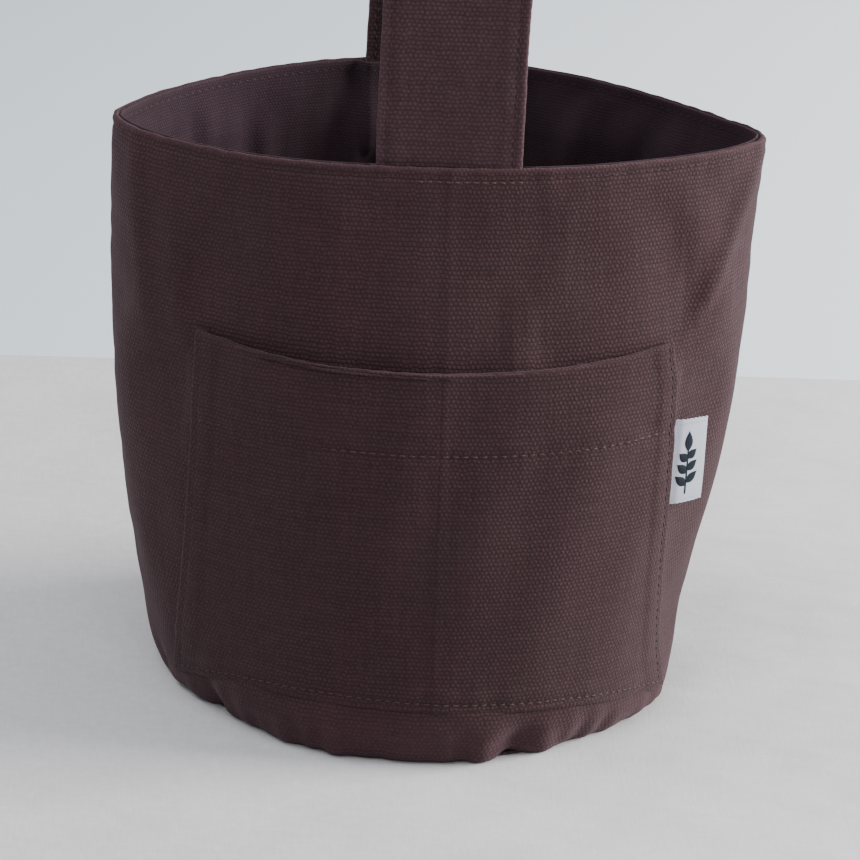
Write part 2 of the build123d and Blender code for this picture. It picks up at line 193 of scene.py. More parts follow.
def make_mesh(name, points, faces, uv, wear_and_light, material):
    """A smooth mesh object with the weave's map and a value on each point for edge wear and painted light."""
    mesh = bpy.data.meshes.new(name)
    mesh.from_pydata((np.asarray(points) * MM).tolist(), [], [tuple(int(i) for i in f) for f in faces])
    mesh.polygons.foreach_set("use_smooth", [True] * len(mesh.polygons))
    corners = np.zeros(len(mesh.loops), int)
    mesh.loops.foreach_get("vertex_index", corners)
    weave = (np.asarray(uv) * MM).astype(np.float32)
    mesh.uv_layers.new(name="weave").data.foreach_set("uv", weave[corners].ravel())
    value = np.zeros(len(points)) if wear_and_light is None else wear_and_light
    worn_and_lit = mesh.attributes.new("wear_and_light", "FLOAT", "POINT")
    worn_and_lit.data.foreach_set("value", np.asarray(value, np.float32))
    mesh.validate()
    mesh.update()
    mesh.materials.append(material)
    return add_object(name, mesh)


def belongs(piece, body, slot, *nodes):
    """What a piece rides on, if one is given, and the CAD nodes it stands for, which are hidden. The slot
    argument, its finish, is not used.
    """
    if body:
        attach(piece, body)
    if nodes:
        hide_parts(*nodes)
    return piece


def grid_faces(rows, columns, start=0, flip=False):
    """Quads of a grid whose points are numbered row by row."""
    index = start + np.arange(rows * columns).reshape(rows, columns)
    quads = np.stack([index[:-1, :-1], index[:-1, 1:], index[1:, 1:], index[1:, :-1]], -1).reshape(-1, 4)
    return quads[:, ::-1] if flip else quads


def tube_faces(index):
    """Quads between closed loops of point numbers, one loop to a row."""
    a, b = index[:-1], index[1:]
    return np.stack([a, np.roll(a, -1, 1), np.roll(b, -1, 1), b], -1).reshape(-1, 4).tolist()


def cloth_shell(name, points, thick, uv, wear_and_light, material, rounds=4):
    """A sheet with thickness behind its face and a half-round edge all the way round.

    thick is one number, or one for each point.
    """
    rows, columns, _ = points.shape
    count = rows * columns
    index = np.arange(count).reshape(rows, columns)
    border = np.concatenate([index[0, :], index[1:, -1], index[-1, -2::-1], index[-2:0:-1, 0]])
    inner = np.concatenate([index[1, :], index[1:, -2], index[-2, -2::-1], index[-2:0:-1, 1]])
    face = points.reshape(-1, 3)
    normal = grid_normals(points).reshape(-1, 3)
    thick = np.broadcast_to(thick, (rows, columns)).reshape(-1, 1)
    up = normal[border]
    half = thick[border] / 2
    edge = face[border] - face[inner]
    edge = unit(edge - up * np.sum(edge * up, -1, keepdims=True))
    middle = face[border] - up * half
    turns = [math.pi * k / rounds for k in range(1, rounds)]
    loops = [middle + half * (math.cos(a) * up + math.sin(a) * edge) for a in turns]
    faces = [grid_faces(rows, columns), grid_faces(rows, columns, count, flip=True)]
    numbers = [border] + [2 * count + k * len(border) + np.arange(len(border)) for k in range(rounds - 1)]
    numbers.append(border + count)
    for low, high in zip(numbers[:-1], numbers[1:]):
        faces.append(np.stack([low, high, np.roll(high, -1), np.roll(low, -1)], -1))
    flat, worn_and_lit = uv.reshape(-1, 2), wear_and_light.reshape(-1)
    all_points = np.concatenate([face, face - normal * thick, *loops])
    all_uv = np.concatenate([flat, flat] + [flat[border]] * (rounds - 1))
    all_wear_and_light = np.concatenate([worn_and_lit, worn_and_lit] + [worn_and_lit[border]] * (rounds - 1))
    return make_mesh(name, all_points, np.concatenate(faces), all_uv, all_wear_and_light, material)


def loop_shell(name, loops, uv, wear_and_light, material):
    """A skin through closed loops of equal length, stations by points, closed at both ends."""
    stations, size, _ = loops.shape
    index = np.arange(stations * size).reshape(stations, size)
    faces = tube_faces(index)
    points = loops.reshape(-1, 3)
    flat, worn_and_lit = uv.reshape(-1, 2), wear_and_light.reshape(-1)
    for row, turn in ((index[0], 1), (index[-1], -1)):
        middle = len(points)
        points = np.vstack([points, points[row].mean(0)])
        flat = np.vstack([flat, flat[row].mean(0)])
        worn_and_lit = np.append(worn_and_lit, worn_and_lit[row].mean())
        faces += [(middle, p, q) for p, q in zip(row, np.roll(row, turn))]
    return make_mesh(name, points, faces, flat, worn_and_lit, material)


def stitch_row(name, path, normals, material, pitch=STITCH, fill=0.72, radius=THREAD_R):
    """Separate stitches along a path, each a short thread whose ends dive into the cloth."""
    along = lengths(path)
    count = max(1, int(round(along[-1] / pitch)))
    pitch = along[-1] / count
    rng = np.random.default_rng(len(name) * 131 + count)
    rings, sides = 9, 8
    t = np.linspace(-1, 1, rings)
    turn = np.linspace(0, 2 * math.pi, sides, endpoint=False)
    arch = radius * (0.75 - 2.2 * np.abs(t) ** 3.2)[:, None]
    size = radius * (1 - 0.35 * np.abs(t) ** 4)[:, None, None]
    flat, tall = 1.15 * np.cos(turn)[:, None], 0.85 * np.sin(turn)[:, None]
    points, faces, uv = [], [], []
    for k in range(count):
        half = pitch * fill / 2 * rng.uniform(0.93, 1.05)
        skew = rng.uniform(-0.10, 0.10)
        where = (k + 0.5) * pitch + t * half
        centre = np.stack([np.interp(where, along, path[:, c]) for c in range(3)], -1)
        normal = unit(np.stack([np.interp(where, along, normals[:, c]) for c in range(3)], -1))
        side = np.cross(normal, unit(np.gradient(centre, axis=0)))
        centre = centre + normal * arch + side * (skew * t)[:, None]
        points.extend((centre[:, None] + (flat * side[:, None] + tall * normal[:, None]) * size).reshape(-1, 3))
        uv += [(at, a * radius) for at in where for a in turn]
        index = np.arange(k * rings * sides, (k + 1) * rings * sides).reshape(rings, sides)
        faces += tube_faces(index) + [index[0, ::-1], index[-1]]
    return make_mesh(name, points, faces, uv, None, material)


# ---- materials ---------------------------------------------------------------------
class Nodes:
    """Short calls for building a material's node tree."""

    def __init__(self, name):
        self.material = bpy.data.materials.new(name)
        self.material.use_nodes = True
        self.tree = self.material.node_tree
        self.shader = self.tree.nodes["Principled BSDF"]

    def put(self, socket, value):
        if isinstance(value, bpy.types.NodeSocket):
            self.tree.links.new(value, socket)
        else:
            socket.default_value = value

    def add(self, kind, **inputs):
        node = self.tree.nodes.new(kind)
        for key, value in inputs.items():
            self.put(node.inputs[key], value)
        return node

    def math(self, operation, *values, clamp=False):
        node = self.tree.nodes.new("ShaderNodeMath")
        node.operation = operation
        node.use_clamp = clamp
        for socket, value in zip(node.inputs, values):
            self.put(socket, value)
        return node.outputs[0]

    def times(self, first, second):
        return self.math("MULTIPLY", first, second)

    def plus(self, first, second):
        return self.math("ADD", first, second)

    def mix(self, factor, first, second):
        node = self.tree.nodes.new("ShaderNodeMix")
        node.data_type = "RGBA"
        for socket, value in zip((node.inputs["Factor"], *node.inputs[6:8]), (factor, first, second)):
            self.put(socket, value)
        return node.outputs[2]

    def noise(self, vector, scale, detail=2.0, roughness=0.5):
        node = self.add("ShaderNodeTexNoise", Vector=vector, Scale=scale, Detail=detail, Roughness=roughness)
        return node.outputs["Fac"]

    def remap(self, value, low, high, new_low, new_high):
        node = self.add("ShaderNodeMapRange")
        for socket, number in zip(node.inputs[:5], (value, low, high, new_low, new_high)):
            self.put(socket, number)
        return node.outputs[0]

    def scaled(self, vector, *scale):
        return self.add("ShaderNodeMapping", Vector=vector, Scale=scale).outputs[0]

    def weave(self):
        """The cloth's map, and its two parts: across and along the cloth."""
        node = self.add("ShaderNodeUVMap")
        node.uv_map = "weave"
        split = self.add("ShaderNodeSeparateXYZ", Vector=node.outputs[0])
        return node.outputs[0], split.outputs[0], split.outputs[1]

    def place(self):
        return self.add("ShaderNodeTexCoord").outputs["Object"]

    def finish(self, bumps, sockets):
        """Gives the shader its values and its bumps, each with strength, depth and height."""
        for name, value in sockets.items():
            self.put(self.shader.inputs[name], value)
        below = None
        for strength, depth, height in bumps:
            node = self.add("ShaderNodeBump", Strength=strength, Distance=depth, Height=height)
            if below:
                self.put(node.inputs["Normal"], below)
            below = node.outputs[0]
        if below:
            self.put(self.shader.inputs["Normal"], below)
        return self.material


def paint(colour, share=1.0):
    """A colour made darker by share, for a socket."""
    return (*[c * share for c in colour], 1)


SHADOW_BROWN = (0.028, 0.020, 0.016)
WINE = (0.046, 0.014, 0.022)
SHEEN_TINT = (0.66, 0.47, 0.52)


def canvas_material(name, colour, light, warp=WARP, weft=WEFT, relief=0.75):
    """Heavy plain-weave cotton: upright yarns show as staggered dots between level rows."""
    n = Nodes(name)
    uv, across, along = n.weave()
    place = n.place()
    drift_u = n.remap(n.noise(n.scaled(uv, 90, 260, 1), 1.0), 0.3, 0.7, -0.22, 0.22)
    drift_v = n.remap(n.noise(n.scaled(uv, 240, 110, 1), 1.3), 0.3, 0.7, -0.22, 0.22)
    u = n.plus(n.math("DIVIDE", across, warp * MM), drift_u)
    v = n.plus(n.math("DIVIDE", along, weft * MM), drift_v)
    wave_u = n.math("COSINE", n.times(u, math.pi))
    wave_u = n.times(n.math("SIGN", wave_u), n.math("POWER", n.math("ABSOLUTE", wave_u), 0.6))
    wave_v = n.math("COSINE", n.times(v, math.pi))
    dots = n.math("MULTIPLY_ADD", n.times(wave_u, wave_v), 0.5, 0.5)
    dots = n.math("MULTIPLY_ADD", n.math("POWER", dots, 0.75), 0.52, 0.48)
    rows = n.math("POWER", n.math("ABSOLUTE", wave_v), 0.70)
    height = n.times(dots, n.math("MULTIPLY_ADD", rows, 0.68, 0.32))
    crossing = n.add("ShaderNodeCombineXYZ", X=n.math("ROUND", u), Y=n.math("ROUND", v))
    luck = n.add("ShaderNodeTexWhiteNoise", Vector=crossing.outputs[0]).outputs["Value"]
    height = n.times(height, n.math("MULTIPLY_ADD", luck, 0.34, 0.83))
    warp_slub = n.noise(n.scaled(uv, 1100, 45, 1), 1.0, 1.0)
    weft_slub = n.noise(n.scaled(uv, 45, 620, 1), 1.0, 1.0)
    height = n.times(height, n.remap(n.plus(warp_slub, weft_slub), 0.7, 1.3, 0.83, 1.17))
    fibre = n.noise(place, 2600.0, 2.0, 0.65)
    height = n.plus(height, n.times(fibre, 0.30))
    tone = n.remap(height, 0.15, 1.20, 0.0, 1.0)
    body = n.mix(tone, paint(colour, 0.40), paint(light))
    cloud = n.noise(place, 22.0, 3.0, 0.6)
    body = n.mix(n.remap(cloud, 0.3, 0.7, 0.0, 0.40), body, n.mix(0.5, body, paint(SHADOW_BROWN)))
    stain = n.noise(n.scaled(place, 1, 1, 0.6), 75.0, 2.0, 0.6)
    body = n.mix(n.remap(stain, 0.45, 0.75, 0.0, 0.30), body, n.mix(0.55, body, paint(WINE)))
    # Pales the cloth by a value on each point: real edge wear, and in places painted light and painted shade.
    wear_and_light = n.add("ShaderNodeAttribute")
    wear_and_light.attribute_name = "wear_and_light"
    fuzz = n.remap(n.noise(place, 900.0, 3.0, 0.7), 0.3, 0.75, 0.35, 1.0)
    worn_and_lit = n.math("MULTIPLY", wear_and_light.outputs["Fac"], fuzz, clamp=True)
    return n.finish([(relief, 0.35 * MM, height)], {
        "Base Color": n.mix(worn_and_lit, body, paint([c * 1.65 + 0.010 for c in light])),
        "Roughness": n.remap(tone, 0.0, 1.0, 0.97, 0.82),
        "Specular IOR Level": 0.22,
        "Sheen Weight": 0.10,
        "Sheen Roughness": 0.45,
        "Sheen Tint": paint(SHEEN_TINT),
    })


def thread_material(name, colour):
    """Spun sewing thread: fine slanting plies with a slight sheen."""
    n = Nodes(name)
    _, across, along = n.weave()
    ply = n.math("ABSOLUTE", n.math("SINE", n.plus(n.times(across, 9000.0), n.times(along, 8400.0))))
    hair = n.noise(n.place(), 3200.0, 2.0)
    shade = n.plus(n.times(ply, 0.6), n.times(hair, 0.5))
    return n.finish([(0.6, 0.06 * MM, shade)], {
        "Base Color": n.mix(n.remap(shade, 0.1, 1.0, 0.0, 1.0), paint(colour, 0.5), paint(colour)),
        "Roughness": n.remap(ply, 0.0, 1.0, 0.75, 0.5),
        "Specular IOR Level": 0.25,
        "Sheen Weight": 0.05,
    })


def label_material(name, colour, sheen=0.1, gloss=0.4):
    """Woven label tape: fine ribs with a soft satin face."""
    rib, cross_rib = 0.34 * MM, 0.5 * MM
    n = Nodes(name)
    _, across, along = n.weave()
    ribs = n.math("ABSOLUTE", n.math("SINE", n.times(along, math.pi / rib)))
    cross = n.math("SINE", n.times(across, 2 * math.pi / cross_rib))
    height = n.plus(ribs, n.times(cross, 0.18))
    body = n.mix(n.remap(height, -0.1, 1.1, 0.0, 1.0), paint(colour, 0.70), paint(colour))
    cloud = n.noise(n.place(), 260.0, 3.0)
    return n.finish([(0.5, 0.10 * MM, height)], {
        "Base Color": n.mix(n.remap(cloud, 0.35, 0.7, 0.0, 0.16), body, paint(colour, 0.62)),
        "Roughness": n.remap(ribs, 0.0, 1.0, 0.8, 0.55),
        "Sheen Weight": sheen,
        "Specular IOR Level": gloss,
    })


PLUM, PLUM_LIGHT = (0.0215, 0.0078, 0.0100), (0.0460, 0.0190, 0.0230)
LINING, LINING_LIGHT = (0.0185, 0.0074, 0.0132), (0.0305, 0.0130, 0.0216)
STRAP_PLUM, STRAP_LIGHT = (0.0330, 0.0140, 0.0178), (0.062, 0.0295, 0.0365)
POCKET_PLUM, POCKET_LIGHT = (tuple(0.94 * c for c in colour) for colour in (PLUM, PLUM_LIGHT))
canvas = canvas_material("canvas", PLUM, PLUM_LIGHT, 0.78)
pocket_canvas = canvas_material("pocket_canvas", POCKET_PLUM, POCKET_LIGHT, 0.77, 1.34)
lining_canvas = canvas_material("lining", LINING, LINING_LIGHT, 0.60, 1.02, relief=0.45)
strap_canvas = canvas_material("strap_canvas", STRAP_PLUM, STRAP_LIGHT, relief=0.5)
thread = thread_material("thread", (0.0330, 0.0148, 0.0180))
pale_thread = thread_material("pale_thread", (0.062, 0.034, 0.030))
anchor_thread = thread_material("anchor_thread", (0.076, 0.042, 0.031))
label_tape = label_material("label_tape", (0.47, 0.483, 0.552))
label_yarn = label_material("label_yarn", (0.010, 0.016, 0.025), sheen=0.0, gloss=0.12)
white_yarn = thread_material("white_yarn", (0.66, 0.67, 0.72))


# ---- how the bag has settled -------------------------------------------------------
def settle(points):
    """Moves places of the even pattern to where the soft, used bag has them."""
    x, y, z = points[..., 0], points[..., 1], points[..., 2]
    high = ramp(z, 80, RIM_Z)
    front = high * ramp(-y, -3, 15)
    back = high * ramp(y, 8, 25)
    shift = front * (2.6 * bump(x, 76, 34) - 3.7 * bump(x, -60, 38))
    shift += back * (2.2 * bump(x, 0, 48) - 4.0 * bump(x, 92, 24))
    angle = np.degrees(np.arctan2(y, x)) % 360
    push = -3.7 * bump(angle, 217, 17) + 1.3 * bump(angle, 247, 11)
    push += 3.0 * bump(angle, 340, 17) - 0.8 * bump(angle, 312, 12) + 0.8 * bump(angle, 272, 11)
    reach = np.maximum(np.hypot(x, y), 1)
    share = push * (1 - ramp(z, 3, 34)) * ramp(reach, 30, 80) / reach
    outer = ramp(np.abs(x), 70, 106)
    corner = ramp(z, 150, RIM_Z) * outer
    waist = -4.6 * bump(z, 42, 58) * ramp(x, 50, 95)
    nub = 0.8 * ramp(z, RIM_Z - 8, RIM_Z - 2) * ramp(np.abs(x), 100, 107)
    spread = np.where(x > 0, corner + waist + 0.5 * nub, -0.6 * outer - 0.3 * nub)
    return np.stack([x * (1 + share) + spread, y * (1 + share) + shift, z], -1)


# ---- cloth simulation --------------------------------------------------------------
def relaxed(grid, held, slack, cap):
    """How far the cloth of a wall stands off its grid once it has buckled and hung.

    A coarse copy of the wall, cut larger by slack, hangs from the points where held is 1.
    The result is the distance along each point's normal, no more than cap.
    """
    rows, columns, _ = grid.shape
    frames, step, scale = 18, 4, 10 * MM
    pick_rows = np.unique(np.append(np.arange(0, rows, step), rows - 1))
    pick_columns = np.unique(np.append(np.arange(0, columns, step), columns - 1))
    coarse = grid[np.ix_(pick_rows, pick_columns)]
    high, wide = coarse.shape[:2]
    mesh = bpy.data.meshes.new("hanging")
    mesh.from_pydata((coarse.reshape(-1, 3) * scale).tolist(), [], grid_faces(high, wide).tolist())
    piece = add_object("hanging", mesh)
    group = piece.vertex_groups.new(name="held")
    for index, weight in enumerate(held[np.ix_(pick_rows, pick_columns)].ravel()):
        group.add([index], float(weight), "REPLACE")
    cloth = piece.modifiers.new("cloth", "CLOTH")
    for key, value in dict(
        quality=8, mass=0.35, tension_stiffness=25, compression_stiffness=25, shear_stiffness=12,
        bending_stiffness=3.0, air_damping=2.0, vertex_group_mass="held", pin_stiffness=1.0, shrink_min=-slack,
    ).items():
        setattr(cloth.settings, key, value)
    cloth.collision_settings.use_collision = False
    cloth.collision_settings.use_self_collision = False
    cloth.point_cache.frame_start = 1
    cloth.point_cache.frame_end = frames
    scene = bpy.context.scene
    for frame_number in range(1, frames + 1):
        scene.frame_set(frame_number)
    hung = piece.evaluated_get(bpy.context.evaluated_depsgraph_get()).to_mesh()
    places = np.empty(len(hung.vertices) * 3)
    hung.vertices.foreach_get("co", places)
    moved = places.reshape(high, wide, 3) / scale
    scene.frame_set(1)
    bpy.data.objects.remove(piece)
    bpy.data.meshes.remove(mesh)
    off = np.sum((moved - coarse) * grid_normals(coarse), -1)
    for _ in range(2):
        off[1:-1] = (off[:-2] + 2 * off[1:-1] + off[2:]) / 4
        off[:, 1:-1] = (off[:, :-2] + 2 * off[:, 1:-1] + off[:, 2:]) / 4
    off = cap * np.tanh(off / cap)
    tall = np.stack([np.interp(np.arange(rows), pick_rows, off[:, c]) for c in range(wide)], 1)
    return np.stack([np.interp(np.arange(columns), pick_columns, row) for row in tall])


# ---- body walls --------------------------------------------------------------------
ROWS, COLUMNS = 170, 240
SEAM_ANGLE = math.radians(0.2)
SPANS = {
    "front": (math.pi + SEAM_ANGLE, 2 * math.pi - SEAM_ANGLE),
    "back": (SEAM_ANGLE, math.pi - SEAM_ANGLE),
}
OVER_EDGE = [(ROLL * (1 - math.cos(math.pi * k / 8)), ROLL * math.sin(math.pi * k / 8)) for k in range(1, 9)]
FRAYED = 7                  # rows of a rolled edge that show, where it is fuzzed


def even_row(span, z, inset):
    """One level row of a wall with its points evenly spaced."""
    fine = np.linspace(*span, 1601)
    length = lengths(ring(fine, z, inset))
    return ring(np.interp(np.linspace(0, length[-1], COLUMNS), length, fine), z, inset)


def wall_heights(rows, low, high):
    """Heights of a wall's rows, closer together at the foot and the rim."""
    t = np.linspace(0, 1, rows)
    return low + (high - low) * (t - 0.055 * np.sin(2 * math.pi * t))


def sheet_map(grid):
    """Weave map of a panel: distance across from its middle and distance up."""
    up = run_length(grid, 0)[:, grid.shape[1] // 2]
    across = run_length(grid, 1)
    share = across / across[:, -1:] - 0.5
    return np.stack([share * across[:, -1].mean(), np.repeat(up[:, None], grid.shape[1], 1)], -1)


def rolled_map(last, path):
    """Weave map of the rows that follow a path over a folded edge, after the last flat row."""
    rows = np.repeat(last[None], len(path), 0)
    rows[..., 1] += lengths([(0.0, 0.0)] + path)[1:, None]
    return rows


def from_seam(mapped):
    """Distance from a panel's nearer side seam."""
    return np.abs(mapped[..., 0]).max() - np.abs(mapped[..., 0])


def pocket_edge(x, z):
    """How far the pocket's side seam is from the middle, on the side x is on."""
    fall = np.clip((POCKET_TOP - z) / POCKET_TOP, 0, 1)
    left = POCKET_EDGE - 1.9 + 2.4 * fall + 3.6 * fall ** 4
    right = POCKET_EDGE - 1.7 + 4.6 * fall - 1.4 * (1 - ramp(fall, 0, 0.07))
    return np.where(x < 0, left, right)


def pocket_stitch_z(x):
    """Height of the pocket's bottom stitch row."""
    drop = np.where(x < 0, POCKET_FOOT_DROP, 0.65 * POCKET_FOOT_DROP)
    return 23.0 - 0.030 * x - drop * (np.abs(x) / POCKET_EDGE) ** 4.5


def pocket_foot_z(x):
    """Height of the pocket's bottom edge."""
    return pocket_stitch_z(x) - FOOT_STITCH_RISE


def pocket_lip_z(x):
    """Height of the pocket's mouth."""
    return POCKET_TOP + POCKET_TOP_RISE * (x / POCKET_EDGE) ** 2


def under_pocket(x, z):
    """1 where the pocket covers the front wall, 0 elsewhere."""
    inside = ramp(pocket_edge(x, z) - np.abs(x), -6, -1)
    foot, lip = pocket_foot_z(x), pocket_lip_z(x)
    return inside * ramp(z, foot - 1, foot + 4) * (1 - ramp(z, lip - 14, lip - 4))


def middle_crease(x):
    """The pressed crease down the middle of the front."""
    return bump(x, 1.5, 1.3) - 0.6 * bump(x, -2.5, 2.0)


def soft_folds(x, z):
    """Broad soft folds in the front wall, where the mouth's corners pull on it."""
    drop = RIM_Z - z
    upper = ramp(z, 115, 150) * (1 - 0.6 * ramp(z, 182, 193))
    right_x = 107 - 0.30 * drop - 0.0014 * drop ** 2
    left_x = -101 + 0.10 * drop
    folds = 1.4 * bump(x, right_x, 3.6) * upper * ramp(z, 128, 150)
    folds -= 0.7 * bump(x, 87, 4.5) * ramp(z, 128, 148) * (1 - ramp(z, 158, 175))
    folds += (1.3 * bump(x, left_x, 3.2) + 0.7 * bump(x, left_x + 10, 4.5)) * upper
    return folds + 0.16 * middle_crease(x) * ramp(z, 25, 60)


# where round the foot, how far out, and how wide, in degrees
TUCKS = [
    (216, -1.3, 2.2), (221, 0.9, 3.5), (289, -2.2, 3.0), (283, 0.9, 4.0), (297, 0.9, 4.5),
    (247, -1.0, 1.8), (32, -1.3, 3.0), (121, -1.5, 3.4),
]


def foot_tucks(grid):
    """Where the base seam pulls the foot of the wall in, and the puffs beside it."""
    angle = np.degrees(np.arctan2(grid[..., 1], grid[..., 0])) % 360
    tucks = sum(out * bump(angle, where, width) for where, out, width in TUCKS)
    return tucks * (1 - ramp(grid[..., 2], 6, 20))


def wall_relief(grid, mapped, side, seed):
    """How far the cloth stands off its smooth shape: creases, puckers and soft folds."""
    across, up = mapped[..., 0], mapped[..., 1]
    x, z = grid[..., 0], grid[..., 2]
    drop = RIM_Z - z
    to_seam = from_seam(mapped)
    relief = 0.8 * ripples(across, up, 70, seed, (1.0, 2.2))
    relief += 0.24 * ripples(across, up, 24, seed + 1, (1.0, 2.0))
    relief *= (ramp(drop, 0, 25) * 0.8 + 0.2) * (0.35 + 0.65 * ramp(to_seam, 0, 22))
    relief += 0.16 * ripples(across, up * 0.3, 9, seed + 2) * bump(drop, RIM_STITCH_DROP, 4.5)
    needle = np.cos(2 * math.pi * across / STITCH)
    relief -= (0.36 + 0.08 * needle) * bump(drop, RIM_STITCH_DROP, 1.0)
    relief += 0.55 * ripples(across, up * 0.15, 16, seed + 3) * bump(z, 3, 11)
    relief += 0.35 * ripples(across, up * 0.3, 8, seed + 5) * bump(z, 6, 9)
    relief -= 0.6 * bump(to_seam, 0, 1.5)
    relief += 0.13 * ripples(across * 0.2, up, 11, seed + 4) * bump(to_seam, 3, 5)
    relief += foot_tucks(grid)
    if side == "front":
        relief += soft_folds(x, z)
        covered = under_pocket(x, z)
        to_edge = pocket_edge(x, z) - np.abs(x)
        relief = relief * (1 - covered) - 0.5 * covered * ramp(to_edge, 3, 9)
        below = pocket_foot_z(x) - z
        relief += ramp(below, -1.5, 1.0) * (1 - ramp(below, 6, 14)) * ramp(to_edge, -4, 2)
    else:
        upper = ramp(z, 110, 150) * (1 - 0.5 * ramp(z, 182, 193))
        relief += 0.9 * (bump(x, 92, 5) + bump(x, -96, 4)) * upper
    return relief


def wall_holds(grid, mapped, side):
    """1 where a wall is sewn down or stiffened, falling to 0 in its free cloth."""
    x, z = grid[..., 0], grid[..., 2]
    free = ramp(RIM_Z - z, 5, 14)
    free = np.minimum(free, ramp(z, 6, 16))
    free = np.minimum(free, ramp(from_seam(mapped), 3, 12))
    if side == "front":
        free = np.minimum(free, 1 - under_pocket(x, z))
    return 1 - free


def outer_panel(side, seed, edge_wear_and_light):
    """One outer panel: up the wall, over the rolled rim and a little way down inside."""
    top = RIM_Z - ROLL
    grid = np.stack([even_row(SPANS[side], z, 0.0) for z in wall_heights(ROWS, 0.35, top)])
    mapped = sheet_map(grid)
    smooth = settle(grid)
    relief = wall_relief(grid, mapped, side, seed)
    relief += relaxed(smooth, wall_holds(grid, mapped, side), slack=0.012, cap=1.0)
    moved = smooth + grid_normals(smooth) * relief[..., None]
    moved[..., 2] = np.clip(moved[..., 2], 0.15, top)
    path = OVER_EDGE + [(2 * ROLL, -d) for d in (1.5, 4.0, 7.6)]
    fray = 0.10 * ripples(mapped[-1, :, 0], 0, 7, seed + 7)
    rolled = []
    for k, (inset, rise) in enumerate(path):
        row = even_row(SPANS[side], top, inset)
        row[:, 2] = top + rise
        row = settle(row) + (moved[-1] - smooth[-1]) * [1, 1, 0]
        row[:, 2] += fray * (k < FRAYED)
        rolled.append(row)
    drop = RIM_Z - grid[..., 2]
    wear_and_light = 0.28 * bump(grid[..., 2], 6, 11) + 0.22 * bump(from_seam(mapped), 1.5, 1.5) + 0.4 * bump(drop, 0, 0.8)
    # The rolled rim's edge wear: real wear, kept low on the back rim as painted shade.
    roll_wear_and_light = np.repeat(edge_wear_and_light * np.where(np.arange(len(path)) < FRAYED, 1.0, 0.3)[:, None], COLUMNS, 1)
    points = np.concatenate([moved, rolled])
    weave = np.concatenate([mapped, rolled_map(mapped[-1], path)])
    wear_and_light = np.concatenate([np.clip(wear_and_light, 0, 1), roll_wear_and_light])
    piece = cloth_shell(f"outer_{side}", points, CLOTH, weave, wear_and_light, canvas)
    belongs(piece, "bag", "canvas", f"outer_{side}_panel", f"rim_turning_{side}")
    return moved


# ---- lining ------------------------------------------------------------------------
LINING_ROWS = 110
LINING_INSET = 2 * ROLL + LINING_CLOTH + 0.1
STRAP_MID_X = 0.5
STRAP_BACK_SHIFT = 1.7      # the back leg stands this much further right
STRAP_HALF = (STRAP_HIGH[0] - STRAP_LOW[0]) / 2 - 0.9
STRAP_THICK = 2.8
ROOT_SINK = 1.3             # the sewn-in ends lie this much deeper below the rim


def strap_mid_x(y):
    """Where the strap's middle is across the bag."""
    return STRAP_MID_X + STRAP_BACK_SHIFT * ramp(y, 0, 60)


def over_strap_root(x, y, z):
    """1 where the lining passes over the strap's sewn-in end."""
    across = 1 - ramp(np.abs(x - strap_mid_x(y)), STRAP_HALF + 0.5, STRAP_HALF + 5)
    return across * ramp(z, FLEX_LOW[2] - 36, FLEX_LOW[2] - 30)


def lining_folds(grid, mapped, side, seed):
    """How far the lining stands inwards: it is a loose inner bag with upright folds."""
    x, drop = grid[..., 0], RIM_Z - grid[..., 2]
    across, up = mapped[..., 0], mapped[..., 1]
    loose = ramp(drop, 3, 22)
    folds = 1.2 * (1 + ripples(across, up, 40, seed, (1.0, 3.0))) * loose
    folds += 0.35 * (1 + ripples(across, up * 0.3, 12, seed + 1)) * (0.15 + 0.85 * loose)
    if side == "back":
        folds += 6.5 * bump(x, -23 - 0.11 * drop, 4.5 + 0.06 * drop) * ramp(drop, 4, 28)
        folds += 1.6 * bump(x, -60 + 0.08 * drop, 4) * ramp(drop, 8, 34)
        folds += (2.8 * bump(x, 58 - 0.1 * drop, 11) + 2.0 * bump(x, 84, 6)) * loose
    folds = np.maximum(folds - 0.25 * bump(drop, RIM_STITCH_DROP, 1.0), -0.05)
    return folds + (STRAP_THICK + ROOT_SINK + 0.2) * over_strap_root(x, grid[..., 1], grid[..., 2])


def lining_panel(side, seed):
    """One lining panel with its top edge folded under, just below the rim."""
    heights = wall_heights(LINING_ROWS, 4.2, RIM_Z - 0.6)
    grid = np.stack([even_row(SPANS[side], z, LINING_INSET) for z in heights])
    x, y, z = np.moveaxis(grid, -1, 0)
    mapped = sheet_map(grid)
    held = 1 - np.minimum(ramp(RIM_Z - z, 4, 12), ramp(z, 6, 14))
    held = np.maximum(held, over_strap_root(x, y, z))
    folds = lining_folds(grid, mapped, side, seed)
    folds += np.abs(relaxed(settle(grid), held, slack=0.02, cap=2.5))
    moved = settle(grid) - grid_normals(grid) * folds[..., None]
    moved[..., 2] = np.clip(moved[..., 2], 4.0, RIM_Z - 0.5)
    wear_and_light = 0.3 * bump(RIM_Z - z, 0.9, 0.9)
    if side == "back":
        # Painted light: a paler patch high on the right of the back lining, where light falls inside the bag.
        painted_light_share = bump(x, 60, 26) * bump(RIM_Z - z, 10, 18)
        wear_and_light += 0.42 * painted_light_share * ramp(ripples(mapped[..., 0], mapped[..., 1], 16, 57), -1.0, 1.2)
    inside = [part[:, ::-1] for part in (moved, mapped, wear_and_light)]
    piece = cloth_shell(f"lining_{side}", inside[0], LINING_CLOTH, *inside[1:], lining_canvas)
    belongs(piece, "bag", "lining", f"lining_{side}_panel")
    return inside[0]


